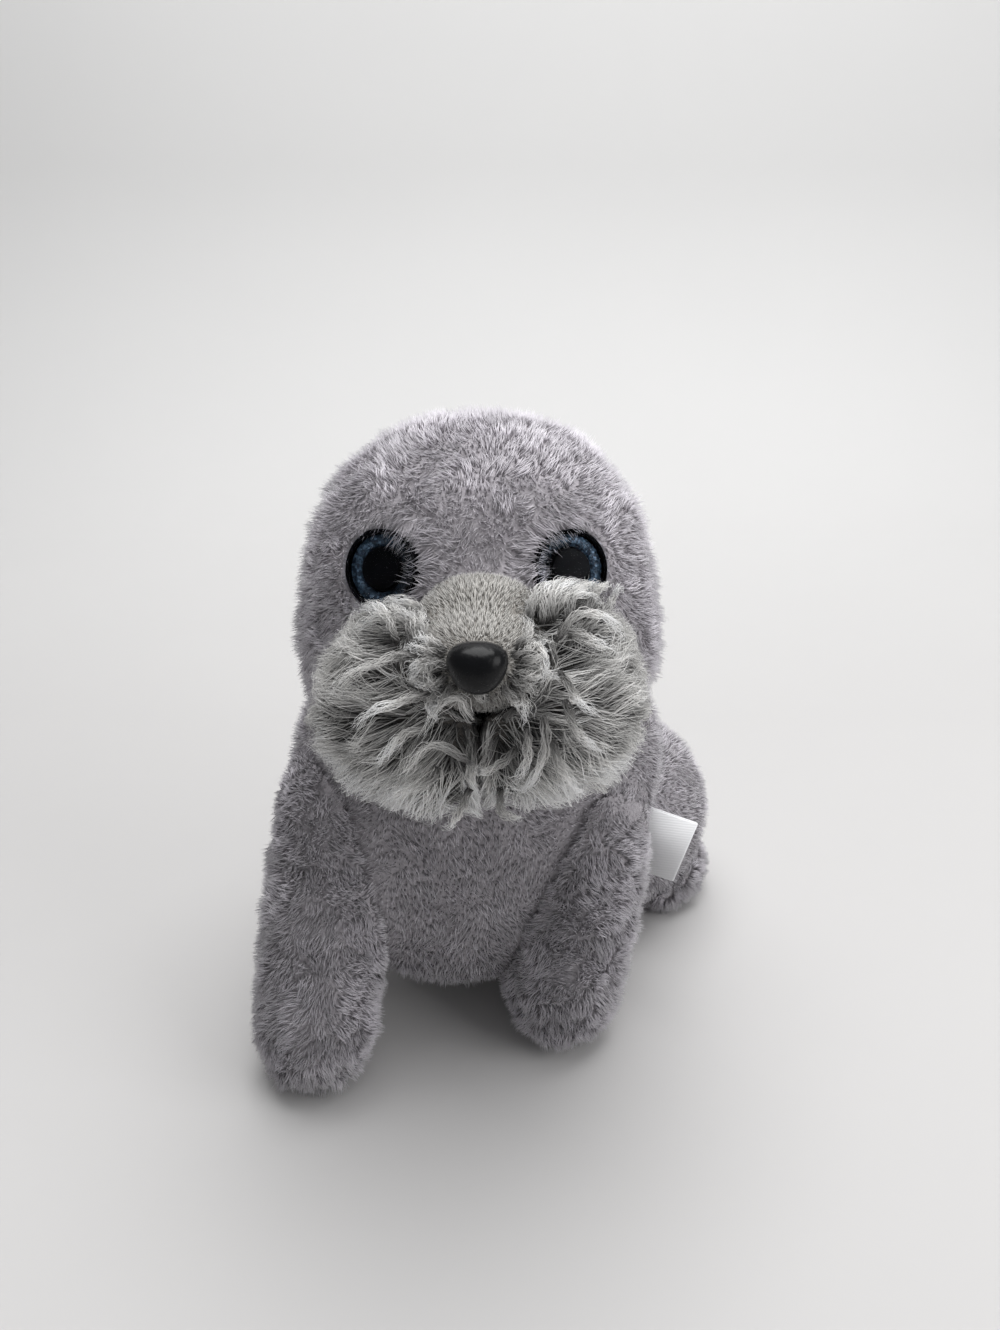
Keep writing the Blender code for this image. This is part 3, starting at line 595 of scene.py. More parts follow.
def pile_tree(name, hugging):
    """Strands on a skin, drawn together into locks. A hugging pile lies along the skin."""
    tree = bpy.data.node_groups.new(name, "GeometryNodeTree")
    from_settings = {label: kind for label, kind, _, _ in PILE_INPUTS}
    new_inputs(tree, {"Geometry": "Geometry", "Density": "Float", **from_settings, "Material": "Material"})
    tree.interface.new_socket("Geometry", in_out="OUTPUT", socket_type="NodeSocketGeometry")
    wires = Wires(tree)
    given = wires.add("NodeGroupInput").outputs
    skin = given["Geometry"]
    position = wires.add("GeometryNodeInputPosition").outputs[0]
    density = wires.math("MULTIPLY", given["Density"], wires.attribute("cover"))
    inputs = {"Mesh": skin, "Density": density, "Seed": given["Seed"]}
    scattered = wires.add("GeometryNodeDistributePointsOnFaces", inputs, distribute_method="RANDOM")
    strands = scattered.outputs["Points"]
    real = planted(wires, given, in_locks(wires, given, strands, position), position)

    along = wires.attribute("t")
    drawn = wires.scaled(wires.attribute("gather"), wires.math("POWER", along, PULL_POWER))
    turns = wires.math("MULTIPLY", given["Wave Turns"], math.tau)
    swing = wires.math("SINE", wires.math("MULTIPLY_ADD", along, turns, wires.attribute("phase")))
    waved = wires.scaled(wires.attribute("sway"), wires.math("MULTIPLY", swing, along))
    offset = wires.vector("ADD", drawn, waved)
    if hugging:
        offset = wires.vector("ADD", offset, onto_skin(wires, skin, along, drawn))
    moved = wires.add("GeometryNodeSetPosition", {"Geometry": real, "Offset": offset}).outputs["Geometry"]
    parts = wires.parts(position)
    floored = wires.joined(X=parts["X"], Y=parts["Y"], Z=wires.math("MAXIMUM", parts["Z"], FLOOR_GAP))
    moved = wires.add("GeometryNodeSetPosition", {"Geometry": moved, "Position": floored}).outputs["Geometry"]
    moved = wires.store(moved, "OFBake", strand_cells(wires, strands, along), "CORNER")
    soft = wires.add("GeometryNodeSetShadeSmooth", {"Geometry": moved}).outputs["Geometry"]
    done = wires.add("GeometryNodeSetMaterial", {"Geometry": soft, "Material": given["Material"]})
    wires.add("NodeGroupOutput", {"Geometry": done.outputs["Geometry"]})
    return tree


def grow_pile(name, skin, values, material, hugging=False):
    """A mesh piece of strands that stand on a skin."""
    tree_name = "hugging_pile" if hugging else "standing_pile"
    tree = bpy.data.node_groups.get(tree_name) or pile_tree(tree_name, hugging)
    piece = new_piece(name, skin.data.copy())
    modifier = piece.modifiers.new("pile", "NODES")
    modifier.node_group = tree
    sockets = {item.name: item.identifier for item in tree.interface.items_tree if item.in_out == "INPUT"}
    modifier[sockets["Density"]] = values.strands / skin["covered_area"]
    for label, _, setting, unit in PILE_INPUTS:
        modifier[sockets[label]] = getattr(values, setting) * unit
    modifier[sockets["Material"]] = material
    mesh = baked(piece)
    for spare in SPARES:
        if spare in mesh.attributes:
            mesh.attributes.remove(mesh.attributes[spare])
    return piece


# Materials


class Surface(Wires):
    """A Principled material and short calls for the nodes that feed it."""

    def __init__(self, name, **constants):
        self.material = bpy.data.materials.new(name)
        self.material.use_nodes = True
        super().__init__(self.material.node_tree)
        self.feed(**constants)

    def feed(self, **values):
        for label, value in values.items():
            self.put(self.tree.nodes["Principled BSDF"].inputs[label.replace("_", " ")], value)
        return self.material

    def bump(self, height, strength, distance):
        inputs = {"Height": height, "Strength": strength, "Distance": distance}
        return self.add("ShaderNodeBump", inputs).outputs["Normal"]


def pile_colour_group():
    """Colour along a strand from its root, darker as painted shade deep in the pile, to its tip, with small
    shifts by strand, by lock and by place; the strand's own shift also carries painted light and painted
    shadow.
    """
    group = bpy.data.node_groups.new("pile_colour", "ShaderNodeTree")
    new_inputs(group, dict.fromkeys(("Root", "Middle", "Tip"), "Color"))
    new_inputs(group, dict.fromkeys(("Strand Shift", "Lock Shift", "Place Shift"), "Float"))
    group.interface.new_socket("Colour", in_out="OUTPUT", socket_type="NodeSocketColor")
    wires = Wires(group)
    given = wires.add("NodeGroupInput").outputs
    stored = (wires.add("ShaderNodeAttribute", attribute_name=name) for name in ("t", "tint", "lock_tint"))
    along, tint, lock_tint = (node.outputs["Fac"] for node in stored)
    # Painted shade: the darker root stands in for the shade deep in the pile
    colour = wires.mixed("RGBA", wires.ranged(along, end=0.55), given["Root"], given["Middle"])
    colour = wires.mixed("RGBA", wires.ranged(along, start=0.45), colour, given["Tip"])
    shift = wires.math("MULTIPLY", tint, given["Strand Shift"])
    shift = wires.math("MULTIPLY_ADD", lock_tint, given["Lock Shift"], shift)
    cloud = wires.math("SUBTRACT", wires.cloud(90.0), 0.5)
    shift = wires.math("MULTIPLY_ADD", cloud, given["Place Shift"], shift)
    bright = wires.scaled(colour, wires.math("ADD", shift, 1.0))
    wires.add("NodeGroupOutput", {"Colour": wires.vector("MINIMUM", bright, (0.97, 0.97, 0.97))})
    return group


def pile_material(name, colours, strand_shift=0.12, lock_shift=0.17, place_shift=0.5):
    surface = Surface(name, Roughness=0.85, Sheen_Weight=0.4, Sheen_Roughness=0.5)
    group = bpy.data.node_groups.get("pile_colour") or pile_colour_group()
    inputs = {label: (*colour, 1) for label, colour in zip(("Root", "Middle", "Tip"), colours)}
    inputs |= {"Strand Shift": strand_shift, "Lock Shift": lock_shift, "Place Shift": place_shift}
    colour = surface.add("ShaderNodeGroup", node_tree=group, inputs=inputs).outputs["Colour"]
    return surface.feed(Base_Color=colour)


def skin_material(name, colour):
    """Knitted backing that shows only between the strands, dark as painted shade between them."""
    surface = Surface(name, Roughness=0.95)
    inputs = {"Vector": surface.place(), "Scale": 1400.0}
    knit = surface.add("ShaderNodeTexVoronoi", inputs).outputs["Distance"]
    tone = surface.ranged(knit, 0.75, 1.2)
    return surface.feed(Base_Color=surface.scaled(colour, tone), Normal=surface.bump(knit, 0.6, 0.3 * MM))


def moulded_material(name, colour, roughness, bump_strength=0.06, gloss=0.5):
    """Moulded plastic with faint mottling in its gloss."""
    surface = Surface(name, Specular_IOR_Level=gloss)
    grain = surface.cloud(900.0, 3.0)
    return surface.feed(
        Base_Color=surface.scaled(colour, surface.ranged(grain, 0.85, 1.15)),
        Roughness=surface.ranged(grain, roughness * 0.85, roughness * 1.15),
        Normal=surface.bump(grain, bump_strength, 0.4 * MM),
    )


def iris_material():
    """Blue glitter paint: small flakes, each tilted its own way, darkened toward the nose as painted shade.
    """
    surface = Surface("iris_glitter", Roughness=0.3, Metallic=0.3)
    place = surface.place()
    flakes = surface.add("ShaderNodeTexVoronoi", {"Vector": place, "Scale": 2600.0}).outputs
    ramp = surface.add("ShaderNodeValToRGB")
    surface.put(ramp.inputs[0], surface.add("ShaderNodeSeparateColor", {"Color": flakes["Color"]}).outputs[0])
    stops = ramp.color_ramp.elements
    stops[0].color = (0.010, 0.018, 0.034, 1)
    stops[1].color = (0.13, 0.21, 0.30, 1)
    stops.new(0.55).color = (0.03, 0.058, 0.09, 1)
    # Painted shade: the iris darkens toward the nose
    aside = surface.math("SUBTRACT", surface.parts(place)["X"], middle_of("head").x)
    light = surface.ranged(surface.math("ABSOLUTE", aside), 0.06, 1.0, 13 * MM, 19 * MM)
    tone = surface.scaled(ramp.outputs["Color"], light)
    return surface.feed(Base_Color=tone, Normal=surface.bump(flakes["Distance"], 0.5, 0.2 * MM))


def lens_material():
    surface = Surface("lens_clear", Transmission_Weight=1.0, IOR=1.05, Base_Color=(0.95, 0.97, 1.0, 1))
    return surface.feed(Roughness=surface.ranged(surface.cloud(260.0), 0.02, 0.06))


def ribbon_material():
    """Fine satin ribbon, woven across its width."""
    surface = Surface("label_ribbon", Roughness=0.6, Sheen_Weight=0.2)
    inputs = {"Vector": surface.place(), "Scale": 420.0, "Distortion": 0.6}
    weave = surface.add("ShaderNodeTexWave", inputs, bands_direction="Z").outputs["Fac"]
    blotch = surface.math("MULTIPLY_ADD", surface.cloud(160.0), 0.08, 0.9)
    shade = surface.scaled((0.96, 0.965, 0.98), surface.math("MULTIPLY_ADD", weave, 0.05, blotch))
    return surface.feed(Base_Color=shade, Normal=surface.bump(weave, 0.25, 0.1 * MM))


# Stuffed pieces


def lying(directions, normals):
    """Directions laid flat on the surface."""
    return directions - (directions * normals).sum(axis=1)[:, None] * normals


def swirls(points, seed):
    """A smooth field of directions that wander from place to place."""
    noise.seed_set(seed)
    shift = Vector((seed * 0.37, seed * 0.71, seed * 0.13))
    return np.array([noise.noise_vector(Vector(point) / SWIRL_SIZE + shift) for point in points]) * 2


def rough_field(points, size, seed):
    """A smooth number between about -1 and 1 that wanders from place to place."""
    shift = Vector((seed * 0.53, seed * 0.29, seed * 0.83))
    return np.array([noise.noise(Vector(point) / size + shift) for point in points]) * 1.6


def make_skin(name, node, values, comb, material):
    """The sewn cloth under a stuffed bag's pile, with what its pile needs to know stored on it."""
    skin = new_piece(name, merged_copy(node), material)
    remesh = skin.modifiers.new("remesh", "REMESH")
    remesh.mode = "VOXEL"
    remesh.voxel_size = FINE_VOXEL if node == "snout" else SKIN_VOXEL
    mesh = baked(skin)
    paint(mesh, material)
    edges = edges_of(mesh)
    points = smoothed(points_of(mesh), edges, SKIN_SMOOTHING)
    set_points(mesh, points)
    normals = unit(smoothed(normals_of(mesh), edges, NORMAL_SMOOTHING))

    others = [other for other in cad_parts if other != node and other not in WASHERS]
    neighbours = tree_of(others)
    faces = [list(face.vertices) for face in mesh.polygons]
    own = BVHTree.FromPolygons([Vector(point) for point in points], faces)
    gaps = np.array([neighbours.find_nearest(Vector(point))[3] for point in points])
    thickness = np.empty(len(points))
    for number, (point, normal) in enumerate(zip(points, normals)):
        inward = -Vector(normal)
        hit = own.ray_cast(Vector(point) + inward * MM, inward)
        thickness[number] = (hit[3] or 0.0) + MM
    cover = smooth_step(gaps, BARE_WITHIN, COVERED_FROM)
    close = smooth_step(gaps, 0.0, TOUCH_RANGE)
    depth = np.minimum(values.depth * MM, thickness * THICKNESS_SHARE)
    inset = smoothed((depth * (TOUCH_DEPTH + (1 - TOUCH_DEPTH) * close))[:, None], edges, 2)[:, 0]
    swell = rough_field(points, SWELL_SIZE, values.seed) * values.swell * MM * close
    lowered = points + normals * (swell - inset)[:, None]
    lowered[:, 2] = np.maximum(lowered[:, 2], FLOOR_GAP)
    set_points(mesh, lowered)

    field = lying(comb(points), normals) * values.comb
    field += lying(swirls(points, values.seed), normals) * values.swirl
    tuft = 1 + rough_field(points, TUFT_SIZE, values.seed + 1) * values.tuft
    length = (depth + values.proud * MM) * (SEAM_LENGTH + (1 - SEAM_LENGTH) * close) * tuft
    skin["covered_area"] = covered_area(mesh, cover)
    write_attribute(mesh, "cover", cover)
    write_attribute(mesh, "depth", inset)
    write_attribute(mesh, "pile", length)
    write_attribute(mesh, "outward", normals)
    write_attribute(mesh, "grow", unit(normals + field))
    mesh.shade_smooth()
    return skin


def combed_down(points):
    return np.tile(DOWN, (len(points), 1))


def combed_from(origin):
    origin = np.array(origin)
    return lambda points: unit(points - origin)


def brow(skin):
    """Lays the head's pile over the upper and inner edges of the eyes."""
    mesh = skin.data
    points, grow, pile = points_of(mesh), read_attribute(mesh, "grow"), read_attribute(mesh, "pile")
    outward = read_attribute(mesh, "outward")
    for word, side in SIDES.items():
        place = place_of(f"eye_iris_{word}")
        axis = np.array(place.to_3x3().col[2])
        from_eye = points - np.array(place.translation)
        away = from_eye - (from_eye @ axis)[:, None] * axis
        distance = np.linalg.norm(away, axis=1)
        away = unit(away)
        near = 1 - smooth_step(distance - eye_radius(word), *BROW_FADE)
        where = np.clip(0.1 + 0.6 * away[:, 2] - 0.9 * side * away[:, 0], 0, 1)
        share = (near * where * (from_eye @ axis > BROW_BEHIND))[:, None]
        over = unit(outward * 0.6 - away)
        grow = unit(grow * (1 - share) + over * share)
        pile = pile + share[:, 0] * BROW_LENGTH
    write_attribute(mesh, "grow", grow)
    write_attribute(mesh, "pile", pile)


def dress(node, values, comb, pile_stuff, skin_stuff, slot, fill=0.9, change=None):
    """One stuffed bag: its cloth, which stands for the CAD node, and its pile."""
    skin = make_skin(f"{node}_skin", node, values, comb, skin_stuff)
    if change is not None:
        change(skin)
    pile = grow_pile(f"{node}_pile", skin, values, pile_stuff)
    finish_piece(skin, slot, node)
    finish_piece(pile, slot)


# Moustache


def mouth_place():
    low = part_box("nose")[0]
    return Vector((middle_of("nose").x, low.y + MOUTH_BEHIND, low.z - MOUTH_BELOW))


def painted_shadow_share(points):
    """How deep each point lies in one of the painted shadows of the folds under the nose, from 0 to 1."""
    share = np.zeros(len(points))
    for pixel, radius, strength in PAINTED_SHADOW_POCKETS:
        start, way = (np.array(vector) for vector in ray_through(pixel))
        from_start = points - start
        reach = from_start @ way
        aside = np.linalg.norm(from_start - reach[:, None] * way, axis=1)
        width = radius / PHOTO_SIZE[0] * reach
        share = np.maximum(share, strength * (1 - smooth_step(aside / width, 0.4, 1.0)))
    return share


def paint_fold_shadow(pile):
    """Darkens the strands that lie in the deep folds under the nose, as painted shadow."""
    dark = POCKET_PAINTED_SHADOW * painted_shadow_share(points_of(pile.data))
    write_attribute(pile.data, "tint", read_attribute(pile.data, "tint") - dark)


def dress_moustache(word, values, pile_stuff, skin_stuff):
    """One half of the moustache: its cloth, and long pile that lies along it and away from the mouth."""
    node = f"moustache_{word}"
    origin = mouth_place()
    skin = make_skin(f"{node}_skin", node, values, combed_from(origin), skin_stuff)
    mesh = skin.data
    points, outward = points_of(mesh), read_attribute(mesh, "outward")
    away = points - np.array(origin)
    away[:, 1] *= AHEAD_SHARE
    away += swirls(points, values.seed) * COMB_WANDER
    heading = unit(lying(away, outward))
    distance = np.linalg.norm((points - np.array(origin))[:, [0, 2]], axis=1)
    reach = np.clip(REACH_AT_MOUTH - REACH_LOSS * distance, *REACH_LIMITS)
    fringe = smooth_step(origin.z - points[:, 2], *FRINGE_LIFT)[:, None]
    write_attribute(mesh, "grow", unit(heading + outward * (0.15 + 0.5 * fringe)))
    write_attribute(mesh, "pile", reach)
    pile = grow_pile(f"{node}_pile", skin, values, pile_stuff, hugging=True)
    grown = points_of(pile.data)
    # Painted light: the fringe's strands are painted paler, and their colour is pushed toward the tip's
    pale = FRINGE_PAINTED_LIGHT * smooth_step(origin.z - grown[:, 2], *FRINGE_LIGHT_RANGE)
    write_attribute(pile.data, "tint", read_attribute(pile.data, "tint") + pale)
    paint_fold_shadow(pile)
    along = read_attribute(pile.data, "t")
    write_attribute(pile.data, "t", along + (1 - along) * along * pale)
    finish_piece(skin, "moustache_pile", node)
    finish_piece(pile, "moustache_pile")


def ray_through(pixel):
    """The line of sight through a pixel of the photograph: the camera's place and a direction."""
    camera = bpy.context.scene.camera
    across = (pixel[0] - PHOTO_SIZE[0] / 2) / PHOTO_SIZE[1]
    down = (pixel[1] - PHOTO_SIZE[1] / 2) / PHOTO_SIZE[1]
    scale = camera.data.sensor_width / camera.data.lens
    way = Vector((across * scale, -down * scale, -1))
    return camera.location, (camera.rotation_euler.to_matrix() @ way).normalized()


def smooth_path(points, count):
    """Points at even shares along a smooth curve through the given points."""
    points = np.array(points)
    padded = np.concatenate([2 * points[:1] - points[1:2], points, 2 * points[-1:] - points[-2:-1]])
    spots = np.linspace(0, len(points) - 1, count)
    path = []
    for spot in spots:
        first = min(int(spot), len(points) - 2)
        t = spot - first
        a, b, c, d = padded[first : first + 4]
        path.append(
            0.5 * (2 * b + (c - a) * t + (2 * a - 5 * b + 4 * c - d) * t**2 + (3 * b - a - 3 * c + d) * t**3)
        )
    return np.array(path)


def rope_strands(path, outward, values, random):
    """One lock as many thin strands around a path: their points, two directions across, and two tints."""
    along = np.linspace(0, 1, len(path))
    ahead = unit(np.gradient(path, axis=0))
    side = unit(np.cross(ahead, outward))
    up = np.cross(side, ahead)
    lock_tint = random.uniform(-1, 1)
    bulk = np.sin(np.clip(along * 1.25 + 0.12, 0, 1.3) ** 0.8 * math.pi * 0.72) * (1 - 0.4 * along)
    for _ in range(values.strands):
        angle = random.uniform(0, math.tau) + values.twist * along * math.tau
        reach = values.lock_width / 2 * MM * math.sqrt(random.uniform(0.02, 1)) * bulk
        stray = random.normal(0, values.stray, 3) * MM * (along**1.5)[:, None]
        crimps = []
        for _ in range(2):
            turns, start = random.uniform(*CRIMP_TURNS), random.uniform(0, math.tau)
            crimps.append(np.sin(along * turns + start) * values.crimp * MM)
        centre = path + side * (np.cos(angle) * reach + crimps[0])[:, None]
        centre = centre + up * (np.sin(angle) * reach + crimps[1])[:, None] + stray
        last = len(path) - int(random.integers(0, 5))
        yield centre[:last], side[:last], up[:last], random.uniform(-1, 1), lock_tint


def eye_fluff(random):
    """Short tufts, as pixels, that stand up over the lower edges of the eyes."""
    tufts = []
    for (left, low), (right, high), count in EYE_FLUFF:
        for share in np.linspace(0, 1, count):
            x = left + (right - left) * share + random.normal(0, 4)
            y = low + (high - low) * share + random.normal(0, 3)
            sweep = (1 if x > NOSE_PIXEL[0] else -1) * random.uniform(6, 22)
            stem = [(x + sweep * aside, y + down) for aside, down in FLUFF_STEPS]
            tufts.append((*stem, (x + sweep * 0.8, y + random.uniform(-4, 6))))
    return tufts


def nose_wisps(values, random):
    """Short tufts, as pixels, that fan out from around the nose."""
    tufts = []
    for turn in np.linspace(*NOSE_WISPS_FAN, values.wisps):
        beside = abs(math.cos(turn))
        if beside < UNDER_NOSE:
            continue
        ring = NOSE_WISPS_FROM * random.uniform(0.92, 1.12) * (0.74 + 0.26 * beside)
        length = random.uniform(26, 44)
        bend = random.normal(0, 0.22)
        tuft = []
        for share in (0, 0.35, 0.7, 1):
            angle = turn + bend * share * share
            reach = ring + length * share
            x = NOSE_PIXEL[0] + reach * math.cos(angle)
            tuft.append((x, NOSE_PIXEL[1] + reach * 0.92 * math.sin(angle)))
        tufts.append(tuft)
    return tufts


def lock_path(lock, carriers, values):
    """A lock's path over the solids that carry it, and the way out from them along it."""
    seats, normals = [], []
    for pixel in lock:
        start, way = ray_through(pixel)
        hit = carriers.ray_cast(start, way)
        if hit[0] is None:
            reach = (seats[-1] - start).length if seats else FIRST_REACH
            hit = carriers.find_nearest(start + way * reach)
        seats.append(hit[0])
        normals.append(hit[1])
    outward = unit(smooth_path(normals, values.steps))
    rise = np.interp(np.linspace(0, 1, values.steps), *RISE_SHAPE) * values.rise * MM
    return smooth_path(seats, values.steps) + outward * rise[:, None], outward


def add_strand(points, faces, centre, side, up, width):
    """Adds a closed tapering tube, and gives the share along it of each new point."""
    first, steps = len(points), len(centre)
    shares = []
    for step in range(steps - 1):
        share = step / (steps - 1)
        radius = width * (1 - STRAND_TAPER * share)
        for corner in np.linspace(0, math.tau, STRAND_SIDES, endpoint=False):
            aside = side[step] * math.cos(corner) + up[step] * math.sin(corner)
            points.append(centre[step] + aside * radius)
        shares += [share] * STRAND_SIDES
    points.append(centre[-1])
    shares.append(1.0)
    pairs = [(corner, (corner + 1) % STRAND_SIDES) for corner in range(STRAND_SIDES)]
    faces.append([first + corner for corner in reversed(range(STRAND_SIDES))])
    for low in range(first, first + (steps - 2) * STRAND_SIDES, STRAND_SIDES):
        high = low + STRAND_SIDES
        faces += [[low + corner, low + after, high + after, high + corner] for corner, after in pairs]
    tip = len(points) - 1
    faces += [[tip - STRAND_SIDES + corner, tip - STRAND_SIDES + after, tip] for corner, after in pairs]
    return shares


def build_ropes(values, material):
    """The heavier wavy locks that lie over the moustache, each seated on the solid under it."""
    carriers = tree_of(CARRIERS)
    random = np.random.default_rng(values.seed)
    points, faces, rows = [], [], []
    number = 0
    for lock in (*ROPES, *eye_fluff(random), *nose_wisps(values, random)):
        path, outward = lock_path(lock, carriers, values)
        for centre, side, up, tint, lock_tint in rope_strands(path, outward, values, random):
            width = values.strand_width / 2 * MM * random.uniform(0.7, 1.2)
            shares = add_strand(points, faces, centre, side, up, width)
            rows += [(share, tint, lock_tint, number) for share in shares]
            number += 1
    shares, tints, lock_tints, cells = np.array(rows).T
    mesh = bpy.data.meshes.new("moustache_ropes")
    mesh.from_pydata([tuple(point) for point in points], [], faces)
    mesh.update()
    write_attribute(mesh, "t", shares)
    # The wavy locks are painted lighter as painted light, and darker in the folds under the nose as painted
    # shadow
    dark = POCKET_PAINTED_SHADOW / 4 * painted_shadow_share(np.array(points))
    write_attribute(mesh, "tint", tints + ROPE_PAINTED_LIGHT - dark)
    write_attribute(mesh, "lock_tint", lock_tints)
    columns = math.ceil(math.sqrt(number))
    layer = mesh.uv_layers.new(name="OFBake")
    at = read(mesh.loops, "vertex_index", 1, np.int32)[:, 0]
    cell, share = cells[at].astype(int), shares[at]
    across = 0.3 + 0.4 * ((at % STRAND_SIDES) / STRAND_SIDES)
    u = (cell % columns + across) / columns
    v = (cell // columns + 0.1 + 0.8 * share) / columns
    layer.data.foreach_set("uv", np.stack([u, v], axis=1).astype(np.float32).ravel())
    mesh.shade_smooth()
    finish_piece(new_piece("moustache_ropes", mesh, material), "moustache_pile")


# Plastic parts


def place_of(ring):
    """The frame of a turned CAD ring: its own +Z is its axis and points ahead."""
    points = points_of(merged_copy(ring))
    centre = points.mean(axis=0)
    spread = (points - centre).T @ (points - centre)
    axis = Vector(np.linalg.eigh(spread)[1][:, 0])
    if axis.dot(FACE_WAY) < 0:
        axis.negate()
    across = Vector((0, 0, 1)).cross(axis).normalized()
    up = axis.cross(across)
    return Matrix.Translation(Vector(centre)) @ Matrix((across, up, axis)).transposed().to_4x4()


def eye_radius(word):
    into_eye = place_of(f"eye_iris_{word}").inverted()
    own = [into_eye @ vertex.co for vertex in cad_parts[f"eye_base_{word}"].data.vertices]
    return max(math.hypot(point.x, point.y) for point in own)


def turned(name, outline, matrix, material):
    """A closed outline of radii and heights, turned about the axis of its own frame."""
    shape = bmesh.new()
    vertices = [shape.verts.new((radius, 0, height)) for radius, height in outline]
    edges = [shape.edges.new(pair) for pair in zip(vertices, vertices[1:])]
    if outline[0][0] > 0:
        edges.append(shape.edges.new((vertices[-1], vertices[0])))
    spin = dict(cent=(0, 0, 0), axis=(0, 0, 1), angle=math.tau, steps=TURN_STEPS, use_merge=True)
    bmesh.ops.spin(shape, geom=vertices + edges, **spin)
    bmesh.ops.remove_doubles(shape, verts=shape.verts, dist=MERGE_WITHIN)
    shape.normal_update()
    bmesh.ops.recalc_face_normals(shape, faces=shape.faces)
    bmesh.ops.transform(shape, matrix=matrix, verts=shape.verts)
    mesh = mesh_from(shape, name)
    mesh.shade_smooth()
    return new_piece(name, mesh, material)


def rounded(corners, radius, steps=3):
    """An open outline with each inner corner replaced by a small arc."""
    outline = [corners[0]]
    for before, corner, after in zip(corners, corners[1:], corners[2:]):
        corner_v = Vector(corner)
        back, ahead = Vector(before) - corner_v, Vector(after) - corner_v
        cut = min(radius, back.length * 0.45, ahead.length * 0.45)
        start, end = corner_v + back.normalized() * cut, corner_v + ahead.normalized() * cut
        for step in range(steps + 1):
            share = step / steps
            point = start * (1 - share) ** 2 + corner_v * 2 * share * (1 - share) + end * share**2
            outline.append(tuple(point))
    outline.append(corners[-1])
    return outline


def build_eye(word, values, materials):
    """An eye in the CAD eye's own frame, with small rounded edges and a glittering cone of an iris."""
    black, blue, clear = materials
    place = place_of(f"eye_iris_{word}")
    radius, rim, pupil = eye_radius(word), values.rim * MM, values.pupil * MM
    cup, floor = CUP_TOP - IRIS_MIDDLE, CUP_FLOOR - IRIS_MIDDLE
    base = [
        (0, -SHANK_LENGTH - IRIS_MIDDLE),
        (SHANK_RADIUS, -SHANK_LENGTH - IRIS_MIDDLE),
        (SHANK_RADIUS, -IRIS_MIDDLE),
        (radius, -IRIS_MIDDLE),
        (radius, cup),
        (radius - rim, cup),
        (radius - rim, floor),
        (pupil, floor),
        (pupil, cup),
        (0, cup),
    ]
    inner, outer = pupil + EYE_PLAY, radius - rim - EYE_PLAY
    low, high = floor + EYE_PLAY, floor + IRIS_TOP
    iris = [(inner, low), (outer, low), (outer, high), (inner, high - IRIS_SLOPE)]
    bottom = cup + EYE_PLAY
    dome = [
        (radius * math.cos(turn), bottom + LENS_EDGE + LENS_CROWN * math.sin(turn))
        for turn in np.linspace(0, math.pi / 2, 17)[:-1]
    ]
    lens = [(0, bottom), (radius, bottom), *dome, (0, bottom + LENS_EDGE + LENS_CROWN)]
    for part, outline, material, slot in (
        ("base", rounded(base, EDGE_ROUND), black, "plastic_black"),
        ("iris", iris, blue, "iris_blue"),
        ("lens", lens, clear, "lens_clear"),
    ):
        node = f"eye_{part}_{word}"
        finish_piece(turned(f"{node}_detail", outline, place, material), slot, node)


def subdivided(name, node, levels, material):
    piece = new_piece(name, merged_copy(node), material)
    modifier = piece.modifiers.new("smooth", "SUBSURF")
    modifier.levels = levels
    modifier.render_levels = levels
    mesh = baked(piece)
    paint(mesh, material)
    mesh.shade_smooth()
    return piece


# Settings


class PileSettings(bpy.types.PropertyGroup):
    depth: FloatProperty(name="Depth", description="From the solid's skin in to the cloth, in mm", default=2)
    proud: FloatProperty(name="Proud", description="From the solid's skin to the tips, in mm", default=0.7)
    strands: IntProperty(name="Strands", description="Strands on the whole piece", default=10000)
    root_width: FloatProperty(name="Root width", description="Of a strand at its root, in mm", default=0.3)
    variation: FloatProperty(name="Variation", description="Spread of length", default=0.3, subtype="FACTOR")
    lock_spacing: FloatProperty(name="Lock spacing", description="From lock to lock, in mm", default=3)
    lock_pull: FloatProperty(name="Lock pull", description="Closing of tips", default=0.5, subtype="FACTOR")
    lock_scatter: FloatProperty(name="Lock lean", description="Lean of locks", default=0.4, subtype="FACTOR")
    scatter: FloatProperty(name="Scatter", description="Lean of strands", default=0.3, subtype="FACTOR")
    comb: FloatProperty(name="Comb", description="How far the pile is laid over", default=0.5)
    swirl: FloatProperty(name="Swirl", description="How far the pile wanders from its comb", default=0.3)
    swell: FloatProperty(name="Swell", description="Height of the stuffing's soft lumps, in mm", default=0.4)
    tuft: FloatProperty(name="Tuft", description="Spread of length by place", default=0.2, subtype="FACTOR")
    wave_depth: FloatProperty(name="Wave depth", description="Sideways wave of a strand, in mm", default=0)
    wave_turns: FloatProperty(name="Wave turns", description="Waves along a strand", default=1)
    segments: IntProperty(name="Segments", description="Rings of faces along a strand", default=1, min=1)
    seed: IntProperty(name="Seed", description="Fixed random seed", default=1)


class RopeSettings(bpy.types.PropertyGroup):
    strands: IntProperty(name="Strands", description="Strands in each lock", default=26)
    steps: IntProperty(name="Steps", description="Rings along a strand", default=18)
    lock_width: FloatProperty(name="Lock width", description="Of a lock at its middle, in mm", default=1.8)
    strand_width: FloatProperty(name="Strand width", description="A strand's root, in mm", default=0.21)
    stray: FloatProperty(name="Stray", description="Distance of tips from their lock, in mm", default=0.6)
    crimp: FloatProperty(name="Crimp", description="Height of a strand's small waves, in mm", default=0.3)
    wisps: IntProperty(name="Wisps", description="Short tufts around the nose", default=24)
    twist: FloatProperty(name="Twist", description="Turns of a lock along its length", default=0.8)
    rise: FloatProperty(name="Rise", description="Height of a lock over the solid, in mm", default=1.0)
    seed: IntProperty(name="Seed", description="Fixed random seed", default=71)


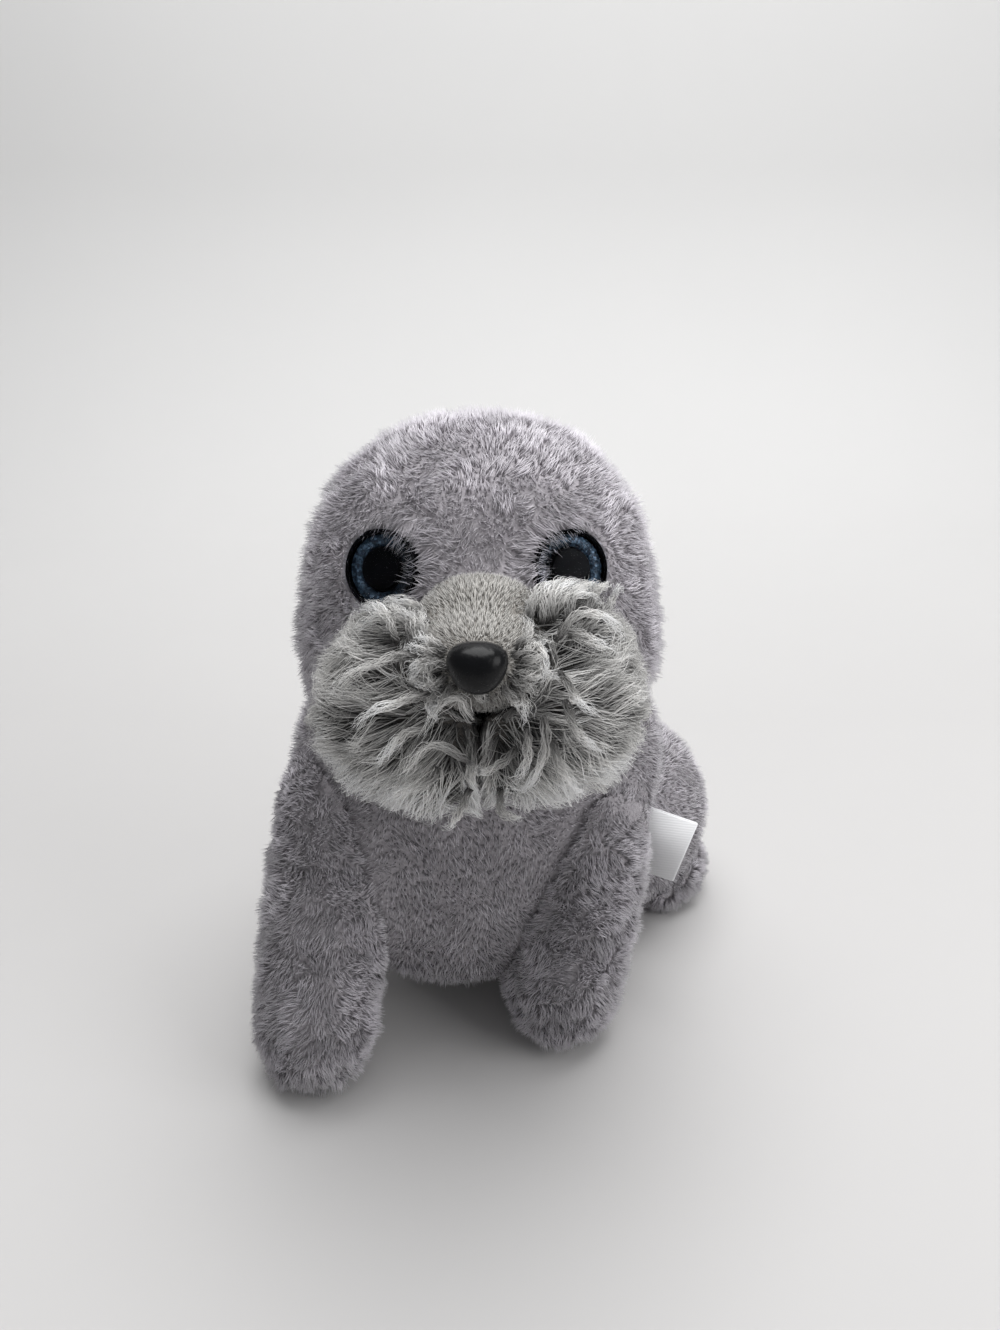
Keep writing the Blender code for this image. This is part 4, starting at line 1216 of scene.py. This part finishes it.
class EyeSettings(bpy.types.PropertyGroup):
    rim: FloatProperty(name="Rim", description="Width of the black rim, in mm", default=0.8)
    pupil: FloatProperty(name="Pupil", description="Radius of the pupil, in mm", default=3.9)


class StageSettings(bpy.types.PropertyGroup):
    # The floor and wall are one paper, given two colours as painted light and shade
    floor_colour: FloatVectorProperty(
        name="Floor colour",
        description="Pale paper under the seal",
        default=(0.59, 0.582, 0.578),
        subtype="COLOR",
        size=3,
    )
    wall_colour: FloatVectorProperty(
        name="Wall colour",
        description="The same paper where it rises behind the seal",
        default=(0.76, 0.757, 0.752),
        subtype="COLOR",
        size=3,
    )
    world_strength: FloatProperty(name="World strength", description="Level of the even light", default=0.24)
    lamp_power: FloatProperty(name="Lamp power", description="Of the soft box", default=10.0, unit="POWER")
    back: FloatProperty(name="Back", description="From head to camera", default=0.208, unit="LENGTH")
    rise: FloatProperty(name="Rise", description="From head up to camera", default=0.077, unit="LENGTH")
    aside: FloatProperty(name="Aside", description="To the seal's left", default=0.0045, unit="LENGTH")
    pitch: FloatProperty(name="Pitch", description="Down", default=math.radians(24), subtype="ANGLE")


class SealSettings(bpy.types.PropertyGroup):
    head: PointerProperty(type=PileSettings, name="Head pile", description="Pile of the head")
    torso: PointerProperty(type=PileSettings, name="Torso pile", description="Pile of the torso")
    front_flipper: PointerProperty(type=PileSettings, name="Front flipper pile", description="Pile of both")
    hind_flipper: PointerProperty(type=PileSettings, name="Hind flipper pile", description="Pile of both")
    snout: PointerProperty(type=PileSettings, name="Snout pile", description="Short pile of the snout")
    moustache: PointerProperty(type=PileSettings, name="Moustache pile", description="Long pile")
    ropes: PointerProperty(type=RopeSettings, name="Wavy locks", description="Locks over the moustache")
    eyes: PointerProperty(type=EyeSettings, name="Eyes", description="Both eyes")
    stage: PointerProperty(type=StageSettings, name="Stage", description="Floor, light and camera")


# Operators


def body_materials(kind):
    """The grey plush, painted a little darker below the head as painted shade for the shade that falls under
    the head.
    """
    name, tone = f"plush_grey_{kind}", PAINTED_SHADE_TONES[kind]
    *colours, ground = ([value * tone for value in colour] for colour in (*BODY_COLOURS, BODY_CLOTH))
    pile = bpy.data.materials.get(f"{name}_pile") or pile_material(f"{name}_pile", colours)
    cloth = bpy.data.materials.get(f"{name}_cloth") or skin_material(f"{name}_cloth", ground)
    return pile, cloth


class SEAL_OT_presets(bpy.types.Operator):
    """Set the values of each kind of pile"""

    bl_idname = "seal.presets"
    bl_label = "Pile values"

    def execute(self, context):
        for kind, values in PILES.items():
            settings = getattr(context.scene.seal, kind)
            for name, value in values.items():
                setattr(settings, name, value)
        return {"FINISHED"}


class SEAL_OT_head(bpy.types.Operator):
    """Dress the head"""

    bl_idname = "seal.head"
    bl_label = "Head"

    def execute(self, context):
        values, materials = context.scene.seal.head, body_materials("head")
        dress("head", values, combed_down, *materials, "plush_grey", change=brow)
        return {"FINISHED"}


class SEAL_OT_torso(bpy.types.Operator):
    """Dress the torso"""

    bl_idname = "seal.torso"
    bl_label = "Torso"

    def execute(self, context):
        dress("torso", context.scene.seal.torso, combed_down, *body_materials("body"), "plush_grey")
        return {"FINISHED"}


class SEAL_OT_flippers(bpy.types.Operator):
    """Dress the four flippers"""

    bl_idname = "seal.flippers"
    bl_label = "Flippers"

    def execute(self, context):
        for kind in ("front_flipper", "hind_flipper"):
            values = getattr(context.scene.seal, kind)
            for word in SIDES:
                dress(f"{kind}_{word}", values, combed_down, *body_materials("body"), "plush_grey")
        return {"FINISHED"}


class SEAL_OT_snout(bpy.types.Operator):
    """Dress the snout in its short pile"""

    bl_idname = "seal.snout"
    bl_label = "Snout"

    def execute(self, context):
        pile = pile_material("snout_pile", SNOUT_COLOURS, 0.1, 0.1, 0.3)
        cloth = skin_material("snout_cloth", SNOUT_CLOTH)
        comb = combed_from(middle_of("nose"))
        dress("snout", context.scene.seal.snout, comb, pile, cloth, "snout_plush", 1.0)
        # Painted shadow on the snout's strands in the folds under the nose
        paint_fold_shadow(bpy.data.objects["snout_pile"])
        return {"FINISHED"}


def moustache_material():
    """One material for the moustache's pile and for its wavy locks."""
    made = bpy.data.materials.get("moustache_strands")
    return made or pile_material("moustache_strands", MOUSTACHE_COLOURS, 0.14, 0.32, 0.3)


class SEAL_OT_moustache(bpy.types.Operator):
    """Dress both halves of the moustache"""

    bl_idname = "seal.moustache"
    bl_label = "Moustache"

    def execute(self, context):
        pile = moustache_material()
        cloth = skin_material("moustache_cloth", MOUSTACHE_CLOTH)
        for word in SIDES:
            dress_moustache(word, context.scene.seal.moustache, pile, cloth)
        return {"FINISHED"}


class SEAL_OT_ropes(bpy.types.Operator):
    """Lay the wavy locks over the moustache"""

    bl_idname = "seal.ropes"
    bl_label = "Wavy locks"

    def execute(self, context):
        build_ropes(context.scene.seal.ropes, moustache_material())
        return {"FINISHED"}


class SEAL_OT_eyes(bpy.types.Operator):
    """Make both eyes"""

    bl_idname = "seal.eyes"
    bl_label = "Eyes"

    def execute(self, context):
        black = moulded_material("eye_black", (0.002, 0.002, 0.003), 0.3, 0.02, 0.05)
        materials = (black, iris_material(), lens_material())
        for word in SIDES:
            build_eye(word, context.scene.seal.eyes, materials)
        return {"FINISHED"}


class SEAL_OT_nose(bpy.types.Operator):
    """Make the nose and finish the washers"""

    bl_idname = "seal.nose"
    bl_label = "Nose and washers"

    def execute(self, context):
        black = moulded_material("nose_black", (0.003, 0.0032, 0.004), 0.28, 0.1, 0.22)
        finish_piece(subdivided("nose_detail", "nose", 2, black), "plastic_black", "nose")
        white = moulded_material("washer_plastic", (0.7, 0.7, 0.68), 0.5)
        for node in WASHERS:
            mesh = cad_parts[node].data
            for index in range(len(mesh.materials)):
                mesh.materials[index] = white
        return {"FINISHED"}


class SEAL_OT_label(bpy.types.Operator):
    """Make the blank ribbon label"""

    bl_idname = "seal.label"
    bl_label = "Label"

    def execute(self, context):
        label = subdivided("label_ribbon", "label", 0, ribbon_material())
        finish_piece(label, "ribbon_white", "label")
        return {"FINISHED"}


class SEAL_OT_stage(bpy.types.Operator):
    """Set the floor, the light and the camera"""

    bl_idname = "seal.stage"
    bl_label = "Stage"

    def execute(self, context):
        values = context.scene.seal.stage
        build_backdrop(values)
        build_light(values)
        build_camera(values)
        return {"FINISHED"}


def build_backdrop(values):
    """A sheet of pale paper that runs from under the seal up behind it, painted darker on the floor and
    lighter up the wall as painted light and shade.
    """
    profile = [(PAPER_FRONT, 0.0), (PAPER_BACK - PAPER_BEND, 0.0)]
    for step in range(1, BEND_STEPS + 1):
        turn = step / BEND_STEPS * math.pi / 2
        y = PAPER_BACK - PAPER_BEND + PAPER_BEND * math.sin(turn)
        profile.append((y, PAPER_BEND - PAPER_BEND * math.cos(turn)))
    profile.append((PAPER_BACK, PAPER_HEIGHT))
    shape = bmesh.new()
    rows = [[shape.verts.new((x, y, z)) for y, z in profile] for x in (-PAPER_HALF_WIDTH, PAPER_HALF_WIDTH)]
    for first, second in zip(range(len(profile)), range(1, len(profile))):
        shape.faces.new((rows[0][first], rows[1][first], rows[1][second], rows[0][second]))
    shape.normal_update()
    mesh = mesh_from(shape, "backdrop")
    mesh.shade_smooth()
    surface = Surface("backdrop_paper", Roughness=0.9)
    tone = surface.ranged(surface.cloud(6.0, 3.0), 0.98, 1.02)
    # Painted light and shade: the one paper blends from the darker floor colour to the lighter wall colour
    depth = surface.parts(surface.place())["Y"]
    share = surface.ranged(depth, start=WALL_LIGHT_FROM, end=PAPER_BACK)
    blend = surface.mixed("VECTOR", share, tuple(values.floor_colour), tuple(values.wall_colour))
    material = surface.feed(Base_Color=surface.scaled(blend, tone))
    new_piece("backdrop", mesh, material)


def build_light(values):
    world = bpy.data.worlds.new("even_light")
    world.use_nodes = True
    even = world.node_tree.nodes["Background"].inputs
    even["Color"].default_value = (0.97, 0.98, 1.0, 1)
    even["Strength"].default_value = values.world_strength
    bpy.context.scene.world = world
    for name, place, size, share in LAMPS:
        data = bpy.data.lights.new(name, "AREA")
        data.shape = "SQUARE"
        data.size = size
        data.energy = values.lamp_power * share
        lamp = bpy.data.objects.new(name, data)
        lamp.location = place
        lamp.rotation_euler = (LIT_POINT - Vector(place)).to_track_quat("-Z", "Y").to_euler()
        bpy.context.scene.collection.objects.link(lamp)


def build_camera(values):
    data = bpy.data.cameras.new("camera")
    data.sensor_width = SENSOR_WIDTH
    data.lens = SENSOR_WIDTH * PHOTO_SIZE[0] / PHOTO_SIZE[1]
    data.clip_start = 0.01
    camera = bpy.data.objects.new("camera", data)
    camera.location = middle_of("head") + Vector((values.aside, -values.back, values.rise))
    camera.rotation_euler = (math.pi / 2 - values.pitch, 0, 0)
    bpy.context.scene.collection.objects.link(camera)
    bpy.context.scene.camera = camera
    bpy.context.scene.view_settings.view_transform = "Standard"


class SEAL_PT_panel(bpy.types.Panel):
    bl_idname = "SEAL_PT_panel"
    bl_label = "Plush seal"
    bl_space_type = "VIEW_3D"
    bl_region_type = "UI"
    bl_category = "Seal"

    def draw(self, context):
        for operator in OPERATORS:
            self.layout.operator(operator.bl_idname)


OPERATORS = (
    SEAL_OT_presets,
    SEAL_OT_stage,
    SEAL_OT_head,
    SEAL_OT_torso,
    SEAL_OT_flippers,
    SEAL_OT_snout,
    SEAL_OT_moustache,
    SEAL_OT_ropes,
    SEAL_OT_eyes,
    SEAL_OT_nose,
    SEAL_OT_label,
)
CLASSES = (PileSettings, RopeSettings, EyeSettings, StageSettings, SealSettings, *OPERATORS, SEAL_PT_panel)


def register():
    for item in CLASSES:
        bpy.utils.register_class(item)
    bpy.types.Scene.seal = PointerProperty(type=SealSettings, name="Seal", description="The seal's values")


def unregister():
    del bpy.types.Scene.seal
    for item in reversed(CLASSES):
        bpy.utils.unregister_class(item)


def main():
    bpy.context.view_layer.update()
    register()
    for operator in OPERATORS:
        getattr(bpy.ops.seal, operator.bl_idname.split(".")[1])()


if __name__ == "__main__":
    main()
